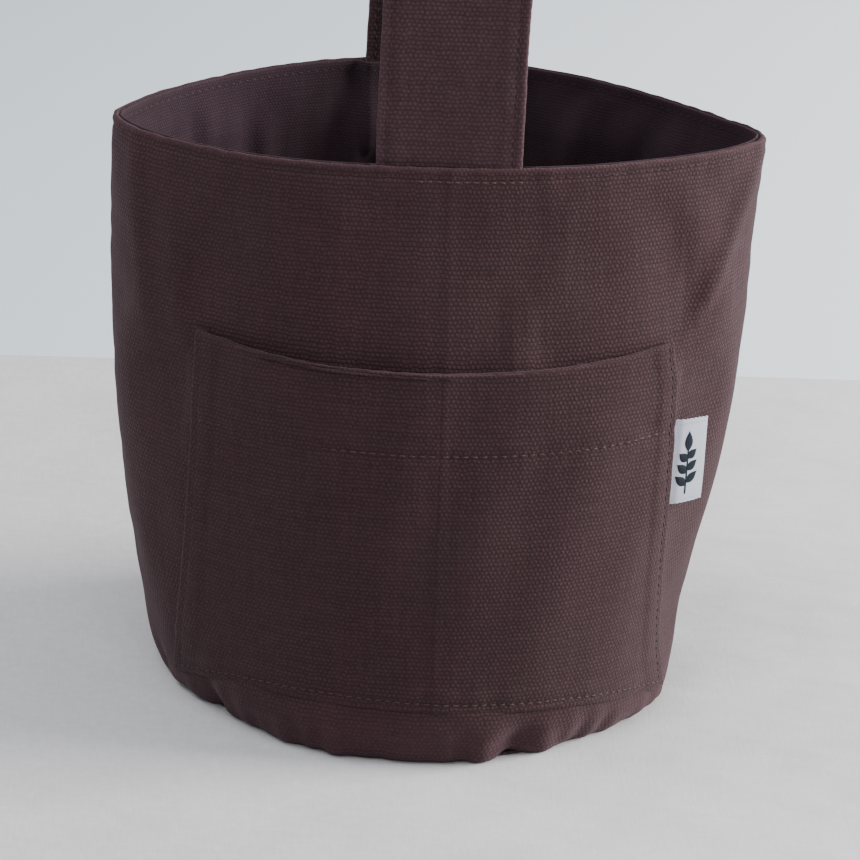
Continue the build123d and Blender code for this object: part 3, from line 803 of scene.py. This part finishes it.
# ---- base and the side seams' hidden allowances ------------------------------------
def disc(name, z, thick, inset, dome, material, slot, *nodes):
    """A flat round of cloth that follows the bag's foot."""
    rows, columns = 40, 160
    angle = np.linspace(0, 2 * math.pi, columns, endpoint=False)
    edge = settle(ring(angle, 1.0, inset))
    middle = edge.mean(0)
    share = np.linspace(0.03, 1, rows)[:, None, None]
    face = middle + (edge - middle) * share
    wave = ripples(face[..., 0], face[..., 1], 30, rows + columns)
    face[..., 2] = z + dome * (1 - share[..., 0] ** 2) + 0.12 * (wave + 1)
    turn = np.linspace(0, math.pi, 6)[1:-1, None, None]
    out = unit(edge - middle) * [1, 1, 0]
    rim = face[-1] - thick / 2 * (1 - np.cos(turn)) * [0, 0, 1] + thick / 2 * np.sin(turn) * out
    loops = np.concatenate([face, rim, (face - [0, 0, thick])[::-1]])
    piece = loop_shell(name, loops, loops[..., :2], np.zeros(loops.shape[:2]), material)
    belongs(piece, "bag", slot, *nodes)


def seam_allowance(side, middle):
    """The two edges of canvas turned in behind a side seam, hidden by the lining."""
    reach = math.radians(5.5)
    angles = np.linspace(middle - reach, middle + reach, 25)
    grid = np.stack([ring(angles, z, CLOTH + 0.3) for z in wall_heights(60, 7, RIM_Z - 12)])
    wear_and_light = np.zeros(grid.shape[:2])
    piece = cloth_shell(f"side_seam_{side}", settle(grid), 0.9, sheet_map(grid), wear_and_light, canvas)
    belongs(piece, "bag", "canvas", f"side_seam_allowance_{side}")


# The rolled rims are paled by real edge wear; the back rim gets less, so it stays darker: painted shade.
front_grid = outer_panel("front", seed=11, edge_wear_and_light=0.44)
back_grid = outer_panel("back", seed=29, edge_wear_and_light=0.14)
front_lining = lining_panel("front", seed=41)
back_lining = lining_panel("back", seed=53)
disc("outer_base", 1.45, CLOTH, 2.2, 0.6, canvas, "canvas", "outer_base_disc", "base_seam_allowance")
disc("lining_base", 4.1, LINING_CLOTH, 4.0, 0.9, lining_canvas, "lining", "lining_base_disc")
seam_allowance("left", math.pi)
seam_allowance("right", 0.0)


# ---- carry strap -------------------------------------------------------------------
LEG_TOP = FLEX_HIGH[2] + 6
STRAP_COLUMNS = 56


def strap_line():
    """Places along the strap's middle, from the front root over the arch to the back root."""
    behind = 2 * ROLL + 0.1
    front_leg = ring(FRONT, RIM_Z, behind)[1] + STRAP_THICK / 2
    back_leg = ring(BACK, RIM_Z, behind)[1] - STRAP_THICK / 2
    roots = np.linspace(FLEX_LOW[2] - 30, RIM_Z, 32)
    sunk = behind + STRAP_THICK / 2 + ROOT_SINK * (1 - ramp(roots, RIM_Z - 14, RIM_Z))
    legs = np.linspace(RIM_Z, LEG_TOP, 50)[1:-1]
    turn = np.linspace(0, math.pi, 220)
    arch_y = (front_leg + back_leg) / 2 - (back_leg - front_leg) / 2 * np.cos(turn)
    arch_z = LEG_TOP + (STRAP_HIGH[2] - STRAP_THICK / 2 - LEG_TOP) * np.sin(turn)
    line = np.concatenate([
        ring(FRONT, roots, sunk)[:, 1:],
        np.stack([np.full_like(legs, front_leg), legs], -1),
        np.stack([arch_y, arch_z], -1),
        np.stack([np.full_like(legs, back_leg), legs], -1)[::-1],
        ring(BACK, roots, sunk)[::-1, 1:],
    ])
    run = lengths(line)
    even = np.arange(0, run[-1], 1.6)
    line = np.stack([np.interp(even, run, line[:, c]) for c in range(2)], -1)
    for _ in range(14):
        line[1:-1] = (line[:-2] + 2 * line[1:-1] + line[2:]) / 4
    return np.column_stack([strap_mid_x(line[:, 0]), line]), even


strap_middle, strap_run = strap_line()
strap_out = np.cross(unit(np.gradient(strap_middle, axis=0)), [1.0, 0, 0])
strap_out *= np.where(strap_out[:1, 1:2] > 0, -1, 1)


def strap_edge(side, run):
    """How far the strap's edge is from its middle, with the slight waver of hand-sewn canvas."""
    waver = 0.22 * ripples(run, 0, 38, 61 + side) + 0.07 * ripples(run, 0, 4, 67 + side)
    return STRAP_HALF - 0.2 + waver


def strap_surface(index, share, face):
    """Places on the strap's face, outer (1) or inner (-1), at shares of its half width."""
    run = strap_run[index]
    half = np.where(share < 0, strap_edge(0, run), strap_edge(1, run))
    x = share * half
    to_edge = half - np.abs(x)
    needle = np.cos(2 * math.pi * run / STITCH)
    thick = STRAP_THICK / 2 - (0.30 + 0.05 * needle) * bump(to_edge, EDGE_STITCH_INSET, 0.8)
    thick += 0.16 * bump(to_edge, EDGE_STITCH_INSET + 3.5, 1.6) - 0.12 * bump(to_edge, 0, 1.0)
    wave = 0.30 * ripples(x, run, 42, 71, (1.0, 1.6)) + 0.10 * ripples(x, run, 13, 72)
    held = ramp(strap_middle[index][..., 2], RIM_Z - 5, RIM_Z + 20)
    offset = (face * thick + wave * held)[..., None]
    return strap_middle[index] + [1.0, 0, 0] * x[..., None] + strap_out[index] * offset


def bend_with_strap(piece):
    """Bakes the piece's transform into its mesh."""
    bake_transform(piece)


def rounded(start, end, side):
    """The strap's rounded edge between the borders of its two faces."""
    half = np.linalg.norm(start - end, axis=-1, keepdims=True) / 2
    up = (start - end) / (2 * half)
    out = np.array([0.8 * side, 0, 0])
    turns = np.linspace(0, math.pi, 8)[1:-1]
    return np.stack([(start + end) / 2 + half * (math.cos(a) * up + math.sin(a) * out) for a in turns], 1)


def build_strap():
    """The strap as one closed skin: outer face, rounded edge, inner face, rounded edge."""
    count = len(strap_middle)
    index = np.repeat(np.arange(count)[:, None], STRAP_COLUMNS, 1)
    reach = 0.86 * math.pi / 2
    across = np.sin(np.linspace(-1, 1, STRAP_COLUMNS) * reach) / math.sin(reach)
    across = np.repeat(across[None], count, 0)
    outer = strap_surface(index, across, 1)
    inner = strap_surface(index, across[:, ::-1], -1)
    right = rounded(outer[:, -1], inner[:, 0], 1)
    left = rounded(inner[:, -1], outer[:, 0], -1)
    loops = np.concatenate([outer, right, inner, left], 1)
    from_middle = loops[..., 0] - strap_middle[:, :1]
    weave = np.stack([from_middle, np.repeat(strap_run[:, None], loops.shape[1], 1)], -1)
    wear_and_light = 0.22 * bump(np.abs(from_middle), STRAP_HALF, 0.7)
    piece = loop_shell("strap", loops, weave, wear_and_light, strap_canvas)
    belongs(piece, None, "strap_canvas", "carry_strap", "strap_flex_front", "strap_flex_back",
            "strap_root_front", "strap_root_back")
    bend_with_strap(piece)


def strap_stitches():
    """A row of stitches along each edge of the strap, on both faces."""
    above = np.where(strap_middle[:, 2] > RIM_Z - 4)[0]
    for face, word in ((1, "outer"), (-1, "inner")):
        for side, name in ((-1, "left"), (1, "right")):
            share = np.full(len(above), side * (1 - EDGE_STITCH_INSET / STRAP_HALF))
            path = strap_surface(above, share, face)
            row = stitch_row(f"strap_stitch_{word}_{name}", path, strap_out[above] * face, thread)
            first = (word, name) == ("outer", "left")
            belongs(row, None, "thread", *(["strap_edge_stitching"] if first else []))
            bend_with_strap(row)


build_strap()
strap_stitches()


# ---- rim topstitch and the strap's anchor stitches ---------------------------------
def rows_at(grid, z):
    """A level line on a grid's surface, with its normals."""
    heights = grid[..., 2]
    row = int(np.argmin(np.abs(heights.mean(1) - z)))
    low, high = grid[row], grid[row + 1] if heights[row].mean() < z else grid[row - 1]
    t = ((z - low[:, 2]) / (high[:, 2] - low[:, 2]))[:, None]
    return low + (high - low) * t, grid_normals(grid)[row]


def rim_stitches(grid, name, *nodes):
    """The topstitch along one panel's rim, a little sunk into the cloth."""
    line, normals = rows_at(grid, RIM_Z - RIM_STITCH_DROP)
    line = line - normals * 0.10
    row = stitch_row(f"rim_stitch_{name}", line[3:-3], normals[3:-3], thread, radius=0.8 * THREAD_R)
    belongs(row, "bag", "thread", *nodes)


def anchor_stitches(grid, side):
    """Heavier, paler stitches that hold the strap's end under the rim."""
    line, normals = rows_at(grid, RIM_Z - 4.3)
    held = (line[:, 0] > -11) & (line[:, 0] < 26)
    row = stitch_row(f"anchor_stitch_{side}", line[held], normals[held], anchor_thread, pitch=3.0, fill=0.62)
    belongs(row, "bag", "thread", f"strap_anchor_stitch_{side}")


rim_stitches(front_grid, "front", "rim_topstitch")
rim_stitches(back_grid, "back")
rim_stitches(front_lining, "lining_front")
rim_stitches(back_lining, "lining_back")
anchor_stitches(front_grid, "front")
anchor_stitches(back_grid, "back")


# ---- front pocket ------------------------------------------------------------------
POCKET_ROWS, POCKET_COLUMNS = 120, 110
HEM_STITCH_Z = POCKET_TOP - POCKET_HEM + 0.5
SIDE_STITCH_INSET = 1.1
POCKET_CLOTH = 0.95 * CLOTH


def pocket_gap(x, z):
    """How far the pocket's hidden face stands off the wall."""
    share = np.clip(np.abs(x) / pocket_edge(x, z), 0, 1)
    height = ramp(z, pocket_foot_z(x) + 8, pocket_lip_z(x))
    slack = 2.6 + 1.8 * bump(x, -45, 26) - 1.1 * bump(x, 22, 30)
    return 0.35 + slack * height * (1 - share ** 3)


def pocket_margins(x, z):
    """1 on the pocket's turned-in side margins and on its bottom margin, 0 elsewhere."""
    sides = 1 - ramp(pocket_edge(x, z) - np.abs(x), 4.5, 7.5)
    return sides, 1 - ramp(z - pocket_foot_z(x), 5.5, 8.5)


def hem_line(x):
    """Height of the hem's stitch row."""
    return HEM_STITCH_Z + 2.0 * (x / POCKET_EDGE) ** 2


def pocket_relief(x, z):
    """Seams, puckers and soft waves of the pocket's cloth."""
    to_edge = pocket_edge(x, z) - np.abs(x)
    above_foot = z - pocket_foot_z(x)
    hem = z - hem_line(x)
    sides, bottom = pocket_margins(x, z)
    needle_up = np.cos(2 * math.pi * z / STITCH)
    needle = np.cos(2 * math.pi * x / STITCH)
    relief = CLOTH + np.maximum(0.55 * sides, 0.35 * bottom)
    relief -= 0.35 * bump(to_edge, SIDE_STITCH_INSET, 0.7)
    relief -= 0.40 * bump(above_foot, FOOT_STITCH_RISE, 0.9) * ramp(to_edge, 1, 4)
    relief -= 0.08 * needle_up * bump(to_edge, SIDE_STITCH_INSET, 1.0)
    relief -= 0.08 * needle * bump(above_foot, FOOT_STITCH_RISE, 1.2)
    relief -= 0.26 * bump(hem, 0, 0.8) * ramp(to_edge, 1, 5)
    relief += 0.22 * ramp(hem, -0.5, 2.5) - 0.10 * needle * bump(hem, 0, 1.2)
    relief += 0.30 * ripples(x, z, 34, 81, (1.0, 1.5)) * ramp(to_edge, 3, 16)
    relief += 0.13 * ripples(x, z * 0.4, 9, 82) * bump(hem, 0, 6)
    relief += 0.15 * ripples(x * 0.3, z, 9, 83) * bump(to_edge, 4, 5)
    relief += 0.18 * ripples(x, z * 0.3, 10, 84) * bump(above_foot, 4, 6)
    return relief + 0.18 * middle_crease(x)


def wall_at(x, z, off):
    """Places on the smooth front wall, moved off it along its normal, with the normals."""
    step = 0.5
    slope_x = (front_y(x + step, z) - front_y(x - step, z)) / (2 * step)
    slope_z = (front_y(x, z + step) - front_y(x, z - step)) / (2 * step)
    normal = unit(np.stack([slope_x, -np.ones_like(x), slope_z], -1))
    return settle(np.stack([x, front_y(x, z), z], -1)) + normal * off[..., None], normal


def pocket_place(x, z):
    """Places on the pocket's outer face, with normals."""
    return wall_at(x, z, pocket_gap(x, z) + pocket_relief(x, z))


def bend_with_pocket(piece):
    """Bakes the piece's transform into its mesh."""
    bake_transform(piece)


def pocket_half(side):
    """Half the pocket: foot to mouth, over the rolled lip and down inside as the hem."""
    t = np.linspace(0, 1, POCKET_COLUMNS)
    share = t + 0.06 * np.sin(math.pi * t) * (1 - t)
    level = np.linspace(0, 1, POCKET_ROWS)
    level = level - 0.05 * np.sin(2 * math.pi * level)
    share, level = np.meshgrid(-share[::-1] if side == "left" else share, level)
    x = share * POCKET_EDGE
    for _ in range(3):
        foot, mouth = pocket_foot_z(x), pocket_lip_z(x) - ROLL
        z = foot + (mouth - foot) * level
        x = share * pocket_edge(share, z)
    foot, mouth = pocket_foot_z(x), pocket_lip_z(x) - ROLL
    face, _ = pocket_place(x, z)
    across = run_length(face, 1)
    if side == "left":
        across = across - across[:, -1:]
    face_map = np.stack([across, z], -1)
    outward = unit(grid_normals(face)[-1] * [1, 1, 0])
    fray = 0.09 * ripples(x[-1], 0, 6, 87)
    path = OVER_EDGE + [(2 * ROLL, -d) for d in (2.0, 6.0, 10.0, 14.0, 18.0, 22.0, 25.0)]
    lip = []
    for k, (inset, rise) in enumerate(path):
        below = pocket_place(x[-1], z[-1] + rise)[0] if rise < 0 else face[-1]
        row = below - outward * inset
        row[:, 2] = z[-1] + rise + fray * (k < FRAYED)
        lip.append(row)
    to_edge = pocket_edge(x, z) - np.abs(x)
    # The lip's pale edge is real wear; its fade towards the left, where the lip lies in shade, is painted shade.
    painted_light_share = 0.25 + 0.75 * ramp(x, -45, -5)
    wear_and_light = 0.05 * bump(to_edge, 0, 0.8) + 0.05 * bump(z, foot, 0.8) + 0.18 * painted_light_share * bump(z, mouth, 0.8)
    sewn = np.maximum(*pocket_margins(x, z))
    down_to_wall = pocket_gap(x, z) + pocket_relief(x, z) - 0.05
    thick = POCKET_CLOTH * (1 - sewn) + down_to_wall * sewn
    thick[-3:] = POCKET_CLOTH
    points = np.concatenate([face, lip])
    thick = np.concatenate([thick, np.full((len(path), POCKET_COLUMNS), POCKET_CLOTH)])
    weave = np.concatenate([face_map, rolled_map(face_map[-1], path)])
    wear_and_light = np.concatenate([wear_and_light, np.repeat(0.34 * painted_light_share[-1:], len(path), 0)])
    piece = cloth_shell(f"pocket_{side}", points, thick, weave, wear_and_light, pocket_canvas)
    more = ["pocket_panel", "pocket_hem_fold", "pocket_bottom_margin"] if side == "left" else []
    belongs(piece, None, "pocket_canvas", f"pocket_margin_{side}", *more)
    bend_with_pocket(piece)


def pocket_stitches():
    """The pocket's two side rows, its bottom row and its hem row."""
    for side, sign in (("left", -1), ("right", 1)):
        z = np.linspace(10, POCKET_TOP + 3, 160)
        x = sign * (pocket_edge(np.full(160, sign), z) - SIDE_STITCH_INSET)
        keep = z > pocket_stitch_z(x)
        row = stitch_row(f"pocket_stitch_{side}", *pocket_place(x[keep], z[keep]), thread)
        belongs(row, "bag", "thread", f"pocket_side_stitch_{side}")
        x = sign * np.linspace(0.8, POCKET_EDGE - 3.5, 160)
        place, normal = pocket_place(x, hem_line(x))
        sunk = 0.26 * (1 - ramp(x, -38, -26))
        row = stitch_row(f"pocket_hem_stitch_{side}", place - normal * sunk[:, None], normal, pale_thread)
        belongs(row, None, "thread", *(["pocket_hem_stitch"] if side == "left" else []))
        bend_with_pocket(row)
    x = np.linspace(-POCKET_EDGE - 1, POCKET_EDGE + 1, 300)
    row = stitch_row("pocket_bottom_row", *pocket_place(x, pocket_stitch_z(x)), pale_thread)
    belongs(row, "bag", "thread", "pocket_bottom_stitch")


pocket_half("left")
pocket_half("right")
pocket_stitches()


# ---- side label --------------------------------------------------------------------
LABEL_OUT, LABEL_RISE = 15.0, 29.0
LABEL_FOOT_Z = box("side_label")[0][2] + 1.2
# at the label's foot and at its top: how it leans off the front, and where it leaves the seam
LEAN_FOOT, LEAN_TOP = math.radians(34), math.radians(28)
START_FOOT, START_TOP = 79.4, 78.6
TAPE = 0.42                 # the folded tape, two layers together
TAPE_FACE = 0.33            # from the middle of the fold to its face
FOLD_REACH = 0.35
TOOTH, TOOTH_PITCH = 0.10, 0.9


def label_place(out, up, off):
    """Places on the folded label: out from the pocket's seam, up from its foot, off its face."""
    share = up / LABEL_RISE
    lean = LEAN_FOOT + (LEAN_TOP - LEAN_FOOT) * share
    start, _ = wall_at(START_FOOT + (START_TOP - START_FOOT) * share, LABEL_FOOT_Z + up, np.full_like(up, 0.75))
    curl = 0.6 * np.sin(math.pi * out / LABEL_OUT) + 0.5 * (out / LABEL_OUT) ** 2 * np.cos(3 * share)
    along = np.stack([np.cos(lean), np.sin(lean), np.zeros_like(lean)], -1)
    face = np.stack([np.sin(lean), -np.cos(lean), np.zeros_like(lean)], -1)
    clear = 0.7 * ramp(out, 1.5, 4.5)
    place = start + along * out[..., None] + face * (off + curl + clear)[..., None]
    place[..., 2] += out * (0.06 * (1 - share) - 0.045)
    return place


def build_label():
    """One tape folded double: out along the face, round the fold and back behind."""
    rows, edge_points = 60, 40
    fold_start = LABEL_OUT - FOLD_REACH
    out = np.linspace(0, fold_start, 26)
    turn = np.linspace(0, math.pi, 7)[1:-1]
    line = np.concatenate([
        np.column_stack([out, np.full(len(out), TAPE_FACE)]),
        np.column_stack([fold_start + FOLD_REACH * np.sin(turn), TAPE_FACE * np.cos(turn)]),
        np.column_stack([out[::-1], np.full(len(out), -TAPE_FACE)]),
    ])
    teeth = TOOTH * np.sign(np.sin(2 * math.pi * line[:, 0] / TOOTH_PITCH))
    up = np.repeat(np.linspace(0, LABEL_RISE, rows)[:, None], len(line), 1)
    up[0] -= teeth
    up[-1] += teeth
    out, off = np.repeat(line.T[:, None], rows, 1)
    weave = np.stack([np.repeat(lengths(line)[None], rows, 0), up], -1)
    piece = cloth_shell("side_tab", label_place(out, up, off), TAPE / 2, weave, np.zeros(up.shape), label_tape)
    belongs(piece, "label", "label_cloth", "side_label")
    along = np.linspace(2.2, LABEL_OUT - 1.0, edge_points)
    face = np.repeat([[math.sin(LEAN_TOP), -math.cos(LEAN_TOP), 0]], edge_points, 0)
    for word, rise in (("foot", 1.2), ("top", LABEL_RISE - 1.2)):
        path = label_place(along, np.full(edge_points, rise), np.full(edge_points, 0.34))
        row = stitch_row(f"tab_edge_{word}", path, face, white_yarn, pitch=0.95, radius=0.13)
        belongs(row, "label", "label_thread")


LEAF_ROWS, LEAF_COLUMNS = 22, 9


def leaf(out, up, length, width, heading):
    """Outline of one leaf: two bowed sides between a stalk end and a tip."""
    t = np.linspace(0, 1, LEAF_ROWS)
    along, half = t * length, width / 2 * np.sin(math.pi * t ** 0.85)
    c, s = math.cos(heading), math.sin(heading)
    turn = np.array([[c, s], [-s, c]])
    return [np.stack([along, side * half], -1) @ turn + (out, up) for side in (1, -1)]


def sprig():
    """A plain sprig of leaves worked in dark satin stitch on the label's face."""
    base_out, base_up = 7.2, 4.6
    rise = np.linspace(base_up - 1.6, base_up + 14.5, LEAF_ROWS)
    shapes = [[np.stack([np.full(LEAF_ROWS, base_out + side * 0.32), rise], -1) for side in (1, -1)]]
    for k, rise in enumerate((1.4, 5.8, 10.0)):
        for side, lift in ((-1, 0), (1, 0.9)):
            heading = math.radians(90 - side * 50)
            shapes.append(leaf(base_out, base_up + rise + lift, (7.0 - 0.7 * k) * 0.80, 3.1, heading))
    shapes.append(leaf(base_out, base_up + 13.4, 7.0, 3.3, math.radians(90)))
    w = np.linspace(0, 1, LEAF_COLUMNS)[:, None]
    crown = 0.36 + 0.16 * np.sqrt(np.abs(np.sin(math.pi * w[:, 0])))
    points, faces = [], []
    for first, second in shapes:
        flat = first[:, None] * (1 - w) + second[:, None] * w
        faces.extend(grid_faces(LEAF_ROWS, LEAF_COLUMNS, start=len(points)))
        points.extend(label_place(flat[..., 0], flat[..., 1], crown).reshape(-1, 3))
    uv = [(k * 0.3, across * 2) for k in range(LEAF_ROWS) for across in w[:, 0]] * len(shapes)
    belongs(make_mesh("tab_sprig", points, faces, uv, None, label_yarn), "label", "label_thread", "label_motif")


build_label()
sprig()


# ---- floor, far floor and light: sizes in metres from here on ----------------------
def floor_cloth(name, colour, crease_share):
    """Pale plain cloth with a faint weave, slubs and soft creases, and painted light that pales it towards the
    window.
    """
    n = Nodes(name)
    place = n.place()
    cloud = n.noise(place, 5.0, 3.0)
    level = n.noise(n.scaled(place, 1.0, 0.12, 1.0), 900.0, 2.0)
    upright = n.noise(n.scaled(place, 0.12, 1.0, 1.0), 900.0, 2.0)
    fine = n.times(n.plus(level, upright), 0.5)
    crease = n.noise(n.scaled(place, 1.0, 1.7, 1.0), 14.0, 2.0, 0.4)
    mottle = n.noise(place, 240.0, 4.0, 0.65)
    split = n.add("ShaderNodeSeparateXYZ", Vector=place)
    body = n.mix(n.remap(cloud, 0.3, 0.7, 0.0, 0.35), paint(colour), paint(colour, 0.94))
    body = n.mix(n.remap(fine, 0.35, 0.65, 0.0, crease_share), body, paint(colour, 0.80))
    body = n.mix(n.remap(mottle, 0.40, 0.60, 0.0, 0.55), body, paint(colour, 0.86))
    # Painted light: the cloth grows paler towards the window on the right.
    body = n.mix(n.remap(split.outputs[0], -0.05, 0.30, 0.0, 0.50), body, paint((0.88, 0.89, 0.92)))
    return n.finish([(crease_share, 9 * MM, crease), (0.3, 0.4 * MM, fine)], {
        "Base Color": body,
        "Roughness": 0.95,
        "Specular IOR Level": 0.1,
    })


def far_surface(name, left, right):
    """Smooth pale surface beyond the cloth, with painted light that makes it a little lighter towards the
    window.
    """
    n = Nodes(name)
    split = n.add("ShaderNodeSeparateXYZ", Vector=n.place())
    side = n.remap(split.outputs[0], -0.32, 0.38, 0.0, 1.0)
    return n.finish([], {
        "Base Color": n.mix(side, paint(left), paint(right)),
        "Roughness": 1.0,
        "Specular IOR Level": 0.0,
    })


def plane(name, near, far, material):
    """A wide level sheet of the set, between two distances behind the bag's middle."""
    mesh = bpy.data.meshes.new(name)
    mesh.from_pydata([(-4, near, 0), (4, near, 0), (4, far, 0), (-4, far, 0)], [], [(0, 1, 2, 3)])
    mesh.materials.append(material)
    add_object(name, mesh)


CLOTH_END = 0.300           # the cloth on the floor ends this far behind the bag
plane("floor", -4, CLOTH_END, floor_cloth("floor_cloth", (0.635, 0.62, 0.625), 0.45))
plane("far_floor", CLOTH_END, 6, far_surface("far_surface", (0.575, 0.622, 0.685), (0.88, 0.94, 0.98)))


def area_light(name, place, aim, size, power, colour):
    """A soft square light."""
    data = bpy.data.lights.new(name, "AREA")
    data.shape = "RECTANGLE"
    data.size = data.size_y = size
    data.energy = power
    data.color = colour
    light = add_object(name, data)
    light.location = place
    light.rotation_euler = (Vector(aim) - Vector(place)).to_track_quat("-Z", "Y").to_euler()


area_light("window", (2.1, 0.10, 0.84), (0, 0, 0.1), 1.2, 130, (1.0, 0.985, 0.97))
area_light("overhead", (-0.4, -0.95, 1.7), (0, 0, 0.1), 1.4, 17, (0.95, 0.97, 1.0))
area_light("side_fill", (-0.95, 0.12, 1.15), (0, 0, 0.15), 0.6, 7, (0.93, 0.96, 1.0))
world = bpy.data.worlds.new("world")
bpy.context.scene.world = world
world.use_nodes = True
sky, strength = world.node_tree.nodes["Background"].inputs[:2]
sky.default_value = (0.90, 0.94, 1.0, 1)
strength.default_value = 0.62

# ---- camera ------------------------------------------------------------------------
CAMERA_DISTANCE, CAMERA_HEIGHT = 1.400, 0.610
CAMERA_TURN, CAMERA_ROLL = math.radians(-3.9), math.radians(3.05)
CAMERA_LENS = 182.6
AIM_SIDE, AIM_HEIGHT = 2.06 * MM, 85.1 * MM


def place_camera():
    """A long lens in front of the bag, a little to its left and looking down on it."""
    data = bpy.data.cameras.new("camera")
    data.lens = CAMERA_LENS
    data.sensor_width = 36.0
    data.clip_end = 20.0
    camera = add_object("camera", data)
    c, s = math.cos(CAMERA_TURN), math.sin(CAMERA_TURN)
    place = Vector((CAMERA_DISTANCE * s, -CAMERA_DISTANCE * c, CAMERA_HEIGHT))
    forward = (Vector((AIM_SIDE * c, AIM_SIDE * s, AIM_HEIGHT)) - place).normalized()
    right = forward.cross(Vector((0, 0, 1))).normalized()
    up = right.cross(forward)
    turned_right = math.cos(CAMERA_ROLL) * right + math.sin(CAMERA_ROLL) * up
    turned_up = -math.sin(CAMERA_ROLL) * right + math.cos(CAMERA_ROLL) * up
    matrix = Matrix((turned_right, turned_up, -forward)).transposed().to_4x4()
    matrix.translation = place
    camera.matrix_world = matrix
    bpy.context.scene.camera = camera


place_camera()
